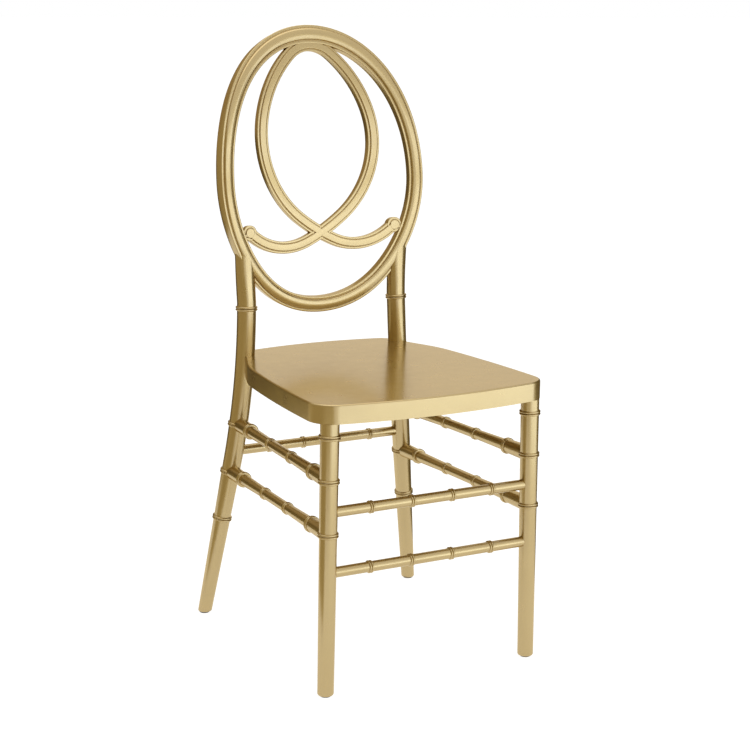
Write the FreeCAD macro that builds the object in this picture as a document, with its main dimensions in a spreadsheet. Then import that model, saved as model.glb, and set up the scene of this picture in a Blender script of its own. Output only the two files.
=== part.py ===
import FreeCAD, Part
import math
import os
import Sketcher

# Scroll-back banquet chair with bamboo-turned legs and rungs.
# Millimetres. +Z is up, the chair faces -Y, +X is to the right of somebody looking at its front.

Vec = FreeCAD.Vector
X_AXIS, Y_AXIS, Z_AXIS = Vec(1, 0, 0), Vec(0, 1, 0), Vec(0, 0, 1)
SIDES = (("left", -1), ("right", 1))

doc = FreeCAD.newDocument("scroll_back_chair")
sheet = doc.addObject("Spreadsheet::Sheet", "sizes")

# Driving dimensions: alias, value, what it is.
SIZES = (
    ("seat_height", 450, "floor to seat top"),
    ("apron_height", 29, "height of the seat's edge"),
    ("seat_wall", 4, "wall and top of the moulded seat"),
    ("seat_front_y", -238.6, "middle of the front edge"),
    ("seat_front_corner_x", 197.5, "front corner before rounding"),
    ("seat_front_corner_y", -217, "front corner before rounding"),
    ("seat_hip_x", 177, "bend of the side ahead of the rear post, before rounding"),
    ("seat_hip_y", 74, "bend of the side ahead of the rear post, before rounding"),
    ("seat_side_bow", 5, "bow of the side between front corner and bend"),
    ("seat_rear_y", 203.5, "middle of the rear edge"),
    ("seat_rear_corner_x", 133, "rear corner before rounding"),
    ("seat_rear_corner_y", 187, "rear corner before rounding"),
    ("seat_front_round", 40, "radius of a front corner"),
    ("seat_hip_round", 190, "radius of the side's bend"),
    ("seat_rear_round", 24, "radius of a rear corner"),
    ("seat_edge_round", 3, "radius along the top edge"),
    ("rib_pitch", 84, "spacing of the ribs under the seat"),
    ("rib_wall", 3, "thickness of a rib"),
    ("rib_rise", 3, "ribs above the lower edge of the seat"),
    ("socket_wall", 4, "wall of a front leg's socket"),
    ("boss_wall", 5, "wall round a rear post under the seat"),
    ("post_gap", 0.5, "clearance of the seat round a rear post"),
    ("front_foot_x", 178, "front foot to the middle plane"),
    ("front_foot_y", -205.6, "front feet"),
    ("front_top_x", 172.7, "front leg's axis under the seat"),
    ("front_top_y", -206.2, "front leg's axis under the seat"),
    ("front_foot_radius", 12.5, "front leg at the floor"),
    ("front_top_radius", 14.3, "front leg under the seat"),
    ("spigot_radius", 11, "peg on top of a front leg"),
    ("spigot_length", 22, "peg on top of a front leg"),
    ("rear_foot_x", 198, "rear foot to the middle plane"),
    ("rear_foot_y", 209.8, "rear feet"),
    ("rear_bend_x", 159.9, "where the straight lower rear leg ends"),
    ("rear_bend_y", 173.2, "where the straight lower rear leg ends"),
    ("rear_bend_z", 270, "where the straight lower rear leg ends"),
    ("rear_ring_x", 138.6, "upper ring of the rear post"),
    ("rear_ring_y", 160.3, "upper ring of the rear post"),
    ("rear_ring_z", 526.4, "upper ring of the rear post"),
    ("rear_foot_radius", 11.4, "rear leg at the floor"),
    ("rear_post_radius", 14.7, "rear post from the bend up"),
    ("post_top_x", 141.6, "middle of the post at the rim"),
    ("post_top_z", 628, "top section of the post, inside the rim's outline"),
    ("post_round_z", 545, "where the post starts to flatten"),
    ("post_top_depth", 20.4, "front to back of the post at the rim"),
    ("post_top_width", 29.2, "side to side of the post at the rim"),
    ("foot_clearance", 2, "leg's end above the floor"),
    ("foot_round", 3, "rounding at a leg's end"),
    ("ring_low_z", 170.6, "lowest ring of the rear leg"),
    ("ring_mid_z", 251.5, "ring at the lower side rung"),
    ("ring_high_z", 333, "ring at the upper side rung"),
    ("ring_top_z", 399.6, "top ring of the front leg"),
    ("ring_width", 7.6, "height of a leg's double bead"),
    ("ring_proud", 2.3, "how far a leg's bead stands out"),
    ("ring_sink", 0.4, "edges of a ring below the bent post's surface, and its valley above it"),
    ("rung_radius", 8, "plain part of a rung"),
    ("knot_width", 7.2, "length of a rung's double bead"),
    ("knot_proud", 1.8, "how far a rung's bead stands out"),
    ("side_end_radius", 12.4, "flared end of a side rung at the leg"),
    ("side_knot_radius", 10, "side rung beside its end knot"),
    ("front_rung_high_z", 284.9, "upper front rung"),
    ("front_rung_low_z", 192, "lower front rung"),
    ("rear_rung_z", 287, "rear rung"),
    ("tenon_radius", 5.5, "round tenon of a rung"),
    ("tenon_stop", 1.5, "tenon's end to the leg's axis"),
    ("tenon_reach", 24, "tenon's root to the leg's axis"),
    ("glue_gap", 0.1, "clearance round tenons and dowels"),
    ("rim_centre_y", 167.7, "front of the rim's raised band, at its middle"),
    ("rim_centre_z", 744.3, "middle of the oval rim"),
    ("rim_lean", 6.45, "lean of the back, degrees"),
    ("bow_across", 941.6, "radius of the back's hollow from side to side"),
    ("bow_upright", 1278, "radius of the back's bow from bottom to top"),
    ("rim_half_width", 170.6, "oval through the middle of the rim's band"),
    ("rim_half_height", 222, "oval through the middle of the rim's band"),
    ("rim_waist_drop", 12, "widest level of that oval below its middle"),
    ("rim_side_width", 24, "width of the rim at its sides"),
    ("rim_crown_width", 30, "width of the rim at the top"),
    ("rim_foot_width", 25, "width of the rim at the bottom"),
    ("band_width", 15.6, "width of the raised band"),
    ("band_step", 3.4, "band above the rim's two lips"),
    ("rim_depth", 25, "front of the band to the back of the rim"),
    ("rim_back_round", 7.5, "rounding of the rim's back edges"),
    ("band_round", 2.8, "rounding of the rim band's edges"),
    ("strand_width", 20, "width of a scroll strand"),
    ("strand_band_width", 12.4, "raised band of a strand"),
    ("strand_front", 3, "strand's band behind the rim's band"),
    ("strand_step", 2.4, "strand's band above its lips"),
    ("strand_back", 20.4, "back of the strand behind the rim's band"),
    ("strand_back_round", 4.5, "rounding of a strand's back edges"),
    ("strand_band_round", 1.8, "rounding of a strand band's edges"),
    ("arch_height", 203.8, "top of the scroll's centre line above the oval's middle"),
    ("curl_x", 132.5, "round end of a scroll arm"),
    ("curl_drop", 96.2, "round end of a scroll arm below the oval's middle"),
    ("curl_radius", 12.6, "round end of a scroll arm"),
    ("bolt_radius", 3, "seat bolt's shank"),
    ("bolt_length", 20, "seat bolt's shank"),
    ("bolt_head_radius", 5, "seat bolt's head"),
    ("bolt_head_height", 5, "seat bolt's head"),
    ("washer_radius", 7, "washer under a seat bolt"),
    ("washer_height", 1.4, "washer under a seat bolt"),
    ("insert_radius", 4.5, "threaded insert in a leg"),
    ("insert_length", 12, "threaded insert in a leg"),
    ("bolt_z", 434, "height of the seat bolts"),
    ("bolt_gap", 0.3, "clearance round a bolt's shank"),
    ("thread_gap", 0.05, "clearance at a thread"),
    ("insert_inset", 1.5, "insert's end below the leg's surface"),
    ("seating_radius", 8, "flat spot for a washer"),
    ("dowel_radius", 5, "dowel between post and rim"),
    ("dowel_length", 48, "dowel between post and rim"),
    ("dowel_top_z", 616, "upper end of that dowel"),
    ("peg_radius", 3, "dowel between scroll and rim"),
    ("peg_length", 20, "dowel between scroll and rim"),
    ("peg_start", 2, "start of a dowel beyond the middle of a curl"),
    ("arch_peg_x", 14, "dowel at the top of the arch"),
    ("arch_peg_drop", 4, "start of that dowel below the arch's centre line"),
    ("end_gap", 0.2, "hole beyond the end of a dowel"),
    ("glide_radius", 8.5, "glide under a foot"),
    ("glide_stem_radius", 3.5, "glide's stem"),
    ("glide_stem_length", 14, "glide's stem"),
)

# Knots of a rung, as shares of its length from leg axis to leg axis.
STRAIGHT_KNOTS = (0.2, 0.4, 0.6, 0.8)
SIDE_KNOTS = (0.15, 0.385, 0.615, 0.85)

# A scroll strand as tangent arcs: radius and turn in degrees, from the arch at the top,
# down one side, through the crossing and out along the arm on the other side.
STRAND_ARCS = ((54, 41.8), (198, 33.8), (162, 66.4), (311, 13.8), (96, 61.6))

for row, (alias, value, note) in enumerate(SIZES, start=1):
    sheet.set(f"A{row}", note)
    sheet.set(f"B{row}", str(value))
    sheet.setAlias(f"B{row}", alias)
doc.recompute()


def size(alias):
    return float(getattr(sheet, alias))


ALIASES = {alias for alias, _, _ in SIZES}


def bind(obj, **formulas):
    """Drives properties of an object from cells of the sheet."""
    for name, formula in formulas.items():
        words = formula.split()
        bound = " ".join(f"sizes.{w}" if w in ALIASES else w for w in words)
        obj.setExpression(name.replace("__", "."), bound)
    return obj


# Sketches and bodies

def new_body(name, placement=None):
    body = doc.addObject("PartDesign::Body", name)
    if placement:
        body.Placement = placement
    return body


def new_sketch(body, name, role):
    sketch = body.newObject("Sketcher::SketchObject", name)
    plane = [f for f in body.Origin.OriginFeatures if f.Role == role][0]
    sketch.AttachmentSupport = (plane, [""])
    sketch.MapMode = "FlatFace"
    return sketch


def arc(centre, radius, start, end):
    return Part.ArcOfCircle(Part.Circle(centre, Z_AXIS, radius), start, end)


def half_oval(half_width, height, middle, turn):
    """Half an upright ellipse above or below a level. A half turn gives the lower half."""
    centre = Vec(0, middle, 0)
    whole = Part.Ellipse(centre + Vec(0, height, 0), centre + Vec(half_width, 0, 0), centre)
    return Part.ArcOfEllipse(whole, turn - math.pi / 2, turn + math.pi / 2)


# One bead of a turning: share of its height, share of its width.
BEAD = ((0, 0), (1, 0.3), (1, 0.7))


class TurnedProfile:
    """Half outline of a turned piece in a sketch: x is the radius, y runs along the axis."""

    def __init__(self, body, name, start_radius, start):
        self.sketch = new_sketch(body, name, "XZ_Plane")
        self.start = Vec(0, start, 0)
        self.last = self.start
        self.line_to(start_radius, start)

    def line_to(self, radius, along):
        point = Vec(radius, along, 0)
        self.sketch.addGeometry(Part.LineSegment(self.last, point))
        self.last = point

    def double_bead(self, radius, middle, width, proud):
        """Two beads side by side."""
        half = width / 2
        for low in (middle - half, middle):
            for out, share in BEAD:
                self.line_to(radius + out * proud, low + share * half)
        self.line_to(radius, middle + half)

    def close(self):
        self.line_to(0, self.last.y)
        self.sketch.addGeometry(Part.LineSegment(self.last, self.start))
        count = self.sketch.GeometryCount
        for i in range(count):
            self.sketch.addConstraint(Sketcher.Constraint("Coincident", i, 2, (i + 1) % count, 1))
        return self.sketch


def revolve(body, name, sketch, axis="V_Axis"):
    feature = body.newObject("PartDesign::Revolution", name)
    feature.Profile = sketch
    feature.ReferenceAxis = (sketch, [axis])
    feature.Angle = 360
    sketch.Visibility = False
    return feature


# Part primitives and booleans

def along(start, direction):
    """Placement that puts the local Z axis on a line."""
    return FreeCAD.Placement(start, FreeCAD.Rotation(Z_AXIS, direction))


def cylinder(name, radius, height, placement):
    rod = doc.addObject("Part::Cylinder", name)
    bind(rod, Radius=radius, Height=height)
    rod.Placement = placement
    return rod


def fuse(name, shapes):
    joined = doc.addObject("Part::MultiFuse", name)
    joined.Shapes = shapes
    return joined


def cut(name, base, tools):
    tool = tools[0] if len(tools) == 1 else fuse(f"{name}_tools", tools)
    result = doc.addObject("Part::Cut", name)
    result.Base = base
    result.Tool = tool
    return result


def common(name, base, tool):
    result = doc.addObject("Part::Common", name)
    result.Base = base
    result.Tool = tool
    return result


def group(name, shapes):
    """Like pieces that share one node, as separate solids."""
    compound = doc.addObject("Part::Compound", name)
    compound.Links = shapes
    return compound


def fillet(name, base, radius, wanted):
    """Rounds the edges of base that the test picks out."""
    doc.recompute()
    rounding = doc.addObject("Part::Fillet", name)
    rounding.Base = base
    picked = [i for i, edge in enumerate(base.Shape.Edges, start=1) if wanted(edge)]
    rounding.Edges = [(i, size(radius), size(radius)) for i in picked]
    return rounding


# Back: an oval rim and a crossed scroll, cut from a slab that is hollow from side to side and bowed upright

BACK_PLACE = FreeCAD.Placement(
    Vec(0, size("rim_centre_y"), size("rim_centre_z")), FreeCAD.Rotation(X_AXIS, -size("rim_lean"))
)
SLAB_HALF_WIDTH = size("rim_half_width") + size("rim_crown_width")
SLAB_TURN = 2 * math.degrees((size("rim_half_height") + 2 * size("rim_crown_width")) / size("bow_upright"))


def bowed_slab(name, front, back):
    """Slab between two depths behind the band's front: an arc across, turned about a level axis."""
    body = new_body(name, BACK_PLACE)
    sketch = new_sketch(body, f"{name}_section", "XY_Plane")
    hollow = size("bow_across")
    centre = Vec(0, -hollow, 0)
    ends = []
    for depth in (front, back):
        radius = hollow + depth
        half = math.asin(SLAB_HALF_WIDTH / radius)
        sketch.addGeometry(arc(centre, radius, math.pi / 2 - half, math.pi / 2 + half))
        drop = centre.y + radius * math.cos(half)
        ends.append((Vec(SLAB_HALF_WIDTH, drop, 0), Vec(-SLAB_HALF_WIDTH, drop, 0)))
    for near, far in zip(*ends):
        sketch.addGeometry(Part.LineSegment(near, far))
    pivot = size("bow_upright")
    sketch.addGeometry(Part.LineSegment(Vec(-1, pivot, 0), Vec(1, pivot, 0)), True)
    turn = revolve(body, f"{name}_turn", sketch, "Axis0")
    turn.Midplane = True
    turn.Angle = SLAB_TURN
    return body


def prism(name, curves):
    """Outline drawn on the back's own plane and padded through it, front to back."""
    body = new_body(name, BACK_PLACE)
    sketch = new_sketch(body, f"{name}_outline", "XZ_Plane")
    for curve in curves:
        sketch.addGeometry(curve)
    pad = body.newObject("PartDesign::Pad", f"{name}_pad")
    pad.Profile = sketch
    pad.Midplane = True
    bind(pad, Length="6 * rim_depth")
    sketch.Visibility = False
    return body


RIM_WIDTHS = [size(a) for a in ("rim_side_width", "rim_crown_width", "rim_foot_width")]


def oval_block(name, share, width):
    """Oval block whose walls stand square to the bowed back, so it widens and shortens towards its back.

    Its outline lies outside the middle of the band by a share of a width
    that differs at the sides, crown and foot.
    """
    side, crown, foot = [share * width * w / RIM_WIDTHS[0] for w in RIM_WIDTHS]
    half_width = size("rim_half_width") + side
    waist = size("rim_waist_drop")
    top_height = size("rim_half_height") + waist + crown
    foot_height = size("rim_half_height") - waist + foot
    across, upright = size("bow_across"), size("bow_upright")
    body = new_body(name, BACK_PLACE)
    reach = 3 * size("rim_depth")
    ends = []
    for label, y in (("front", -reach), ("back", reach)):
        sketch = new_sketch(body, f"{name}_{label}", "XZ_Plane")
        sketch.AttachmentOffset = FreeCAD.Placement(Vec(0, 0, -y), FreeCAD.Rotation())
        spread = 1 + (y + half_width ** 2 / (2 * across)) / across
        shrink = 1 - (y - top_height ** 2 / (2 * upright)) / upright
        sketch.addGeometry(half_oval(half_width * spread, top_height * shrink, -waist * shrink, 0))
        sketch.addGeometry(half_oval(half_width * spread, foot_height * shrink, -waist * shrink, math.pi))
        ends.append(sketch)
    loft = body.newObject("PartDesign::AdditiveLoft", f"{name}_loft")
    loft.Profile = ends[0]
    loft.Sections = ends[1:]
    loft.Ruled = True
    return body


def oval_ring(name, width):
    outside, inside = oval_block(f"{name}_outside", 0.5, width), oval_block(f"{name}_inside", -0.5, width)
    return cut(f"{name}_ring", outside, [inside])


def depth_of(point):
    """Distance of a point behind the front of the rim's band, square to the bowed back."""
    local = BACK_PLACE.inverse().multVec(point)
    pivot, hollow = size("bow_upright"), size("bow_across")
    y = pivot - math.hypot(pivot - local.y, local.z)
    return math.hypot(local.x, y + hollow) - hollow


def at_depth(depth):
    """Test for edges that lie at one depth in the bowed back."""
    return lambda edge: all(abs(depth_of(p) - depth) < 0.02 for p in edge.discretize(5))


def make_rim():
    back = size("rim_depth")
    lip_slab = bowed_slab("rim_lip_slab", size("band_step"), back)
    lips = common("rim_lips", lip_slab, oval_ring("rim_lip", RIM_WIDTHS[0]))
    band_slab = bowed_slab("rim_band_slab", 0, back / 2)
    band = common("rim_band", band_slab, oval_ring("rim_band", size("band_width")))
    return fuse("rim_blank", [
        fillet("rim_lips_rounded", lips, "rim_back_round", at_depth(back)),
        fillet("rim_band_rounded", band, "band_round", at_depth(0)),
    ])


def strand_outline(width):
    """Closed outline of one scroll strand: its arcs, moved out and in by half its width."""
    point = Vec(0, size("arch_height"), 0)
    heading = math.pi
    outer, inner = [], []
    for radius, turn in STRAND_ARCS:
        normal = Vec(-math.sin(heading), math.cos(heading), 0)
        centre = point + normal * radius
        start = heading - math.pi / 2
        end = start + math.radians(turn)
        outer.append(arc(centre, radius + width / 2, start, end))
        inner.append(arc(centre, radius - width / 2, start, end))
        point = centre + Vec(math.cos(end), math.sin(end), 0) * radius
        heading += math.radians(turn)
    caps = [
        Part.LineSegment(outer[0].StartPoint, inner[0].StartPoint),
        Part.LineSegment(outer[-1].EndPoint, inner[-1].EndPoint),
    ]
    return outer + inner + caps


def mirrored(name, source):
    twin = doc.addObject("Part::Mirroring", name)
    twin.Source = source
    twin.Normal = X_AXIS
    return twin


def make_scroll():
    """Two crossed strands with round curls: a lip layer with a rounded back under a narrower band."""
    front, back = size("strand_front"), size("strand_back")
    wide, narrow = size("strand_width"), size("strand_band_width")
    curl_centre = Vec(size("curl_x"), -size("curl_drop"), 0)
    layers = (
        ("lip", wide, front + size("strand_step"), back, "strand_back_round", back),
        ("band", narrow, front, (front + back) / 2, "strand_band_round", front),
    )
    pieces = []
    for layer, width, near, far, rounding, edge_depth in layers:
        slab = bowed_slab(f"scroll_{layer}_slab", near, far)
        curl = Part.Circle(curl_centre, Z_AXIS, size("curl_radius") - (wide - width) / 2)
        for part, outline in (("strand", strand_outline(width)), ("curl", [curl])):
            name = f"scroll_{layer}_{part}"
            plain = common(f"{name}_plain", slab, prism(f"{name}_block", outline))
            on_edge = at_depth(edge_depth)
            rounded = fillet(name, plain, rounding, lambda e: e.Length > 1.1 * width and on_edge(e))
            pieces += [rounded, mirrored(f"{name}_twin", rounded)]
    limit = oval_block("scroll_limit", -0.5, RIM_WIDTHS[0])
    return common("scroll_blank", fuse("scroll_whole", pieces), limit)


# Legs

def front_axis(side, z):
    foot = Vec(size("front_foot_x"), size("front_foot_y"), 0)
    top = Vec(size("front_top_x"), size("front_top_y"), size("seat_height") - size("apron_height"))
    point = foot + (top - foot) * (z / top.z)
    return Vec(side * point.x, point.y, z)


def rear_points(side):
    return [
        Vec(side * size(f"rear_{p}_x"), size(f"rear_{p}_y"), size(f"rear_{p}_z") if p != "foot" else 0)
        for p in ("foot", "bend", "ring")
    ]


class RearLine:
    """Axis of a rear leg: straight from the foot to the bend, then one arc through the upper ring."""

    def __init__(self, side):
        foot, bend, ring = rear_points(side)
        self.foot = foot
        self.straight = (bend - foot).Length
        self.up = (bend - foot).normalize()
        reach = ring - bend
        rise = reach.dot(self.up)
        sideways = reach - self.up * rise
        self.out = Vec(sideways).normalize()
        self.ring_turn = 2 * math.atan2(sideways.Length, rise)
        self.radius = rise / math.sin(self.ring_turn)
        across = self.up.cross(self.out)
        rows = FreeCAD.Matrix(
            self.out.x, across.x, self.up.x, foot.x,
            self.out.y, across.y, self.up.y, foot.y,
            self.out.z, across.z, self.up.z, foot.z,
            0, 0, 0, 1,
        )
        self.place = FreeCAD.Placement(rows)

    def local(self, turn):
        """Point of the arc in the leg's own frame."""
        return Vec(
            self.radius * (1 - math.cos(turn)), 0, self.straight + self.radius * math.sin(turn)
        )

    def point(self, turn):
        return self.place.multVec(self.local(turn))

    def turn_at(self, z):
        low, high = 0.0, 0.6
        for _ in range(60):
            mid = (low + high) / 2
            low, high = (mid, high) if self.point(mid).z < z else (low, mid)
        return low

    def at(self, z):
        """Point of the axis at a height above the floor, and its direction there."""
        if z <= size("rear_bend_z"):
            return self.foot + self.up * (z / self.up.z), self.up
        turn = self.turn_at(z)
        return self.point(turn), self.out * math.sin(turn) + self.up * math.cos(turn)


REAR = {side: RearLine(side) for _, side in SIDES}
RING = size("ring_width"), size("ring_proud")


def front_leg_blank(name, side):
    top_z = size("seat_height") - size("apron_height")
    foot, top = front_axis(side, 0), front_axis(side, top_z)
    length = (top - foot).Length
    slope = (size("front_top_radius") - size("front_foot_radius")) / length
    body = new_body(f"{name}_blank", along(foot, top - foot))
    start = -2 * size("foot_round")
    outline = TurnedProfile(body, f"{name}_outline", size("front_foot_radius") + slope * start, start)
    for ring in ("ring_mid_z", "ring_high_z", "ring_top_z"):
        z = size(ring)
        outline.double_bead(size("front_foot_radius") + slope * z, z, *RING)
    outline.line_to(size("front_top_radius"), length)
    outline.line_to(size("spigot_radius"), length)
    outline.line_to(size("spigot_radius"), length + size("spigot_length"))
    revolve(body, f"{name}_turning", outline.close())
    return body


def rear_ring(body, line, name, z):
    """Double bead round the curved part of a rear post."""
    turn = line.turn_at(z)
    sketch = new_sketch(body, name, "XZ_Plane")
    middle = line.local(turn)
    middle = Vec(middle.x, middle.z, 0)
    axis = Vec(math.sin(turn), math.cos(turn), 0)
    out = Vec(math.cos(turn), -math.sin(turn), 0)
    radius, sink = size("rear_post_radius"), size("ring_sink")
    half, proud = RING[0] / 2, RING[1]

    def at(r, step):
        return middle + out * r + axis * step

    core = radius / 2
    corners = [at(core, -half)]
    for low, root in ((-half, -sink), (0, sink)):
        corners.append(at(radius + root, low))
        corners += [at(radius + out_share * proud, low + share * half) for out_share, share in BEAD[1:]]
    corners += [at(radius - sink, half), at(core, half)]
    for start, end in zip(corners, corners[1:] + corners[:1]):
        sketch.addGeometry(Part.LineSegment(start, end))
    sketch.addGeometry(Part.LineSegment(at(0, -half), at(0, half)), True)
    revolve(body, f"{name}_turning", sketch, "Axis0")


def rear_leg_blank(name, side):
    """Turned straight lower leg, bent post, and a flattened top that meets the rim's outline."""
    line = REAR[side]
    body = new_body(f"{name}_blank", line.place)
    foot_radius, post_radius = size("rear_foot_radius"), size("rear_post_radius")
    slope = (post_radius - foot_radius) / line.straight
    start = -2 * size("foot_round")
    outline = TurnedProfile(body, f"{name}_outline", foot_radius + slope * start, start)
    for ring in ("ring_low_z", "ring_mid_z"):
        s = size(ring) / line.up.z
        outline.double_bead(foot_radius + slope * s, s, *RING)
    outline.line_to(post_radius, line.straight)
    revolve(body, f"{name}_turning", outline.close())

    end_turn = line.turn_at(size("post_round_z"))
    path = new_sketch(body, f"{name}_path", "XZ_Plane")
    centre = Vec(line.radius, line.straight, 0)
    path.addGeometry(arc(centre, line.radius, math.pi - end_turn, math.pi))
    section = new_sketch(body, f"{name}_section", "XY_Plane")
    section.AttachmentOffset = FreeCAD.Placement(Vec(0, 0, line.straight), FreeCAD.Rotation())
    section.addGeometry(Part.Circle(Vec(), Z_AXIS, post_radius))
    radius_rule = section.addConstraint(Sketcher.Constraint("Radius", 0, post_radius))
    bind(section, **{f"Constraints[{radius_rule}]": "rear_post_radius"})
    bend = body.newObject("PartDesign::AdditivePipe", f"{name}_bend")
    bend.Profile = section
    bend.Spine = path

    shoulder = new_sketch(body, f"{name}_shoulder", "XY_Plane")
    turned = FreeCAD.Rotation(Y_AXIS, math.degrees(end_turn))
    shoulder.AttachmentOffset = FreeCAD.Placement(line.local(end_turn), turned)
    shoulder.addGeometry(Part.Circle(Vec(), Z_AXIS, post_radius))
    crown = new_sketch(body, f"{name}_crown", "XY_Plane")
    to_local = line.place.inverse()
    crown.AttachmentOffset = to_local.multiply(post_top_place(side))
    wide, deep = size("post_top_width") / 2, size("post_top_depth") / 2
    crown.addGeometry(Part.Ellipse(Vec(wide, 0, 0), Vec(0, deep, 0), Vec()))
    flat = body.newObject("PartDesign::AdditiveLoft", f"{name}_flat")
    flat.Profile = shoulder
    flat.Sections = [crown]

    for label, z in (("high", "ring_high_z"), ("upper", "rear_ring_z")):
        rear_ring(body, line, f"{name}_{label}_ring", size(z))
    return body


def post_top_place(side):
    """Level section of the post where it runs into the rim, centred between the rim's lips and its back."""
    x, z = size("post_top_x"), size("post_top_z")
    middle = size("rim_depth") / 2
    return FreeCAD.Placement(Vec(side * x, rim_front_y(x, z) + middle, z), FreeCAD.Rotation())


def rim_front_y(x, z):
    """Depth of the rim's front surface at a point, from its two bows."""
    rise = (z - size("rim_centre_z")) / math.cos(math.radians(size("rim_lean")))
    lean = math.tan(math.radians(size("rim_lean"))) * (z - size("rim_centre_z"))
    bow = rise ** 2 / (2 * size("bow_upright")) - x ** 2 / (2 * size("bow_across"))
    return size("rim_centre_y") + lean + bow


# Rungs

def rung_blank(name, start, end, knots, flared):
    """Turned rung between two leg axes, with double-bead knots."""
    body = new_body(f"{name}_blank", along(start, end - start))
    length = (end - start).Length
    plain, wide = size("rung_radius"), size("side_knot_radius")
    outline = TurnedProfile(body, f"{name}_outline", size("side_end_radius") if flared else plain, 0)
    for i, share in enumerate(knots):
        radius = wide if flared and i in (0, len(knots) - 1) else plain
        outline.double_bead(radius, share * length, size("knot_width"), size("knot_proud"))
    outline.line_to(size("side_end_radius") if flared else plain, length)
    revolve(body, f"{name}_turning", outline.close())
    return body


def round_fit(name, start, end, gap):
    """Tenon, or the hole for it, at the start of a rung."""
    direction = Vec(end - start).normalize()
    stop = size("tenon_stop") - (size("glue_gap") if gap else 0)
    place = along(start + direction * stop, direction)
    place = place.multiply(FreeCAD.Placement(Vec(), FreeCAD.Rotation(Z_AXIS, 45)))
    radius = "tenon_radius + glue_gap" if gap else "tenon_radius"
    return cylinder(name, radius, "tenon_reach - tenon_stop", place)


def make_rungs(blanks):
    """All rungs, and the holes that each leg gets for them."""
    holes = {name: [] for name in blanks}
    rungs = []

    def add(name, leg_a, start, leg_b, end, knots, flared=False):
        blank = rung_blank(name, start, end, knots, flared)
        coped = cut(f"{name}_coped", blank, [blanks[leg_a], blanks[leg_b]])
        tenon_a = round_fit(f"{name}_tenon_a", start, end, False)
        tenon_b = round_fit(f"{name}_tenon_b", end, start, False)
        rungs.append((name, fuse(name, [coped, tenon_a, tenon_b])))
        holes[leg_a].append(round_fit(f"{name}_hole_a", start, end, True))
        holes[leg_b].append(round_fit(f"{name}_hole_b", end, start, True))

    for label, alias in (("upper", "front_rung_high_z"), ("lower", "front_rung_low_z")):
        left, right = [front_axis(side, size(alias)) for _, side in SIDES]
        add(f"front_rung_{label}", "front_leg_left", left, "front_leg_right", right, STRAIGHT_KNOTS)
    left, right = [REAR[side].at(size("rear_rung_z"))[0] for _, side in SIDES]
    add("rear_rung", "rear_leg_left", left, "rear_leg_right", right, STRAIGHT_KNOTS)
    for word, side in SIDES:
        for label, alias in (("upper", "ring_high_z"), ("lower", "ring_mid_z")):
            z = size(alias)
            add(
                f"side_rung_{word}_{label}", f"rear_leg_{word}", REAR[side].at(z)[0],
                f"front_leg_{word}", front_axis(side, z), SIDE_KNOTS, True,
            )
    return rungs, holes


# Seat

def seat_block(name, inset, top, height):
    """Seat outline, moved in by a wall, as a block hanging from a level."""
    body = new_body(name, FreeCAD.Placement(Vec(0, 0, top - height), FreeCAD.Rotation()))
    sketch = new_sketch(body, f"{name}_outline", "XY_Plane")
    front = Vec(size("seat_front_corner_x") - inset, size("seat_front_corner_y") + inset, 0)
    hip = Vec(size("seat_hip_x") - inset, size("seat_hip_y"), 0)
    rear = Vec(size("seat_rear_corner_x") - inset, size("seat_rear_corner_y") - inset, 0)
    flank = (front + hip) * 0.5 + X_AXIS * size("seat_side_bow")

    def left(point):
        return Vec(-point.x, point.y, 0)

    sketch.addGeometry(Part.Arc(left(front), Vec(0, size("seat_front_y") + inset, 0), front))
    sketch.addGeometry(Part.Arc(front, flank, hip))
    sketch.addGeometry(Part.LineSegment(hip, rear))
    sketch.addGeometry(Part.Arc(rear, Vec(0, size("seat_rear_y") - inset, 0), left(rear)))
    sketch.addGeometry(Part.LineSegment(left(rear), left(hip)))
    sketch.addGeometry(Part.Arc(left(hip), left(flank), left(front)))
    pad = body.newObject("PartDesign::Pad", f"{name}_pad")
    pad.Profile = sketch
    pad.Length = height
    doc.recompute()
    feature = pad
    for alias, corner in (("seat_front_round", front), ("seat_hip_round", hip), ("seat_rear_round", rear)):
        rounding = body.newObject("PartDesign::Fillet", f"{name}_{alias}")
        picked = [
            f"Edge{i}" for i, e in enumerate(feature.Shape.Edges, start=1)
            if e.BoundBox.ZLength > height / 2
            and math.hypot(abs(e.CenterOfMass.x) - corner.x, e.CenterOfMass.y - corner.y) < 0.1
        ]
        rounding.Base = (feature, picked)
        rounding.Radius = size(alias) - inset
        doc.recompute()
        feature = rounding
    sketch.Visibility = False
    return body


def post_cylinder(name, side, radius):
    point, direction = REAR[side].at(size("seat_height") - size("apron_height"))
    start = point - direction * size("apron_height")
    return cylinder(name, radius, "3 * apron_height", along(start, direction))


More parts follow.
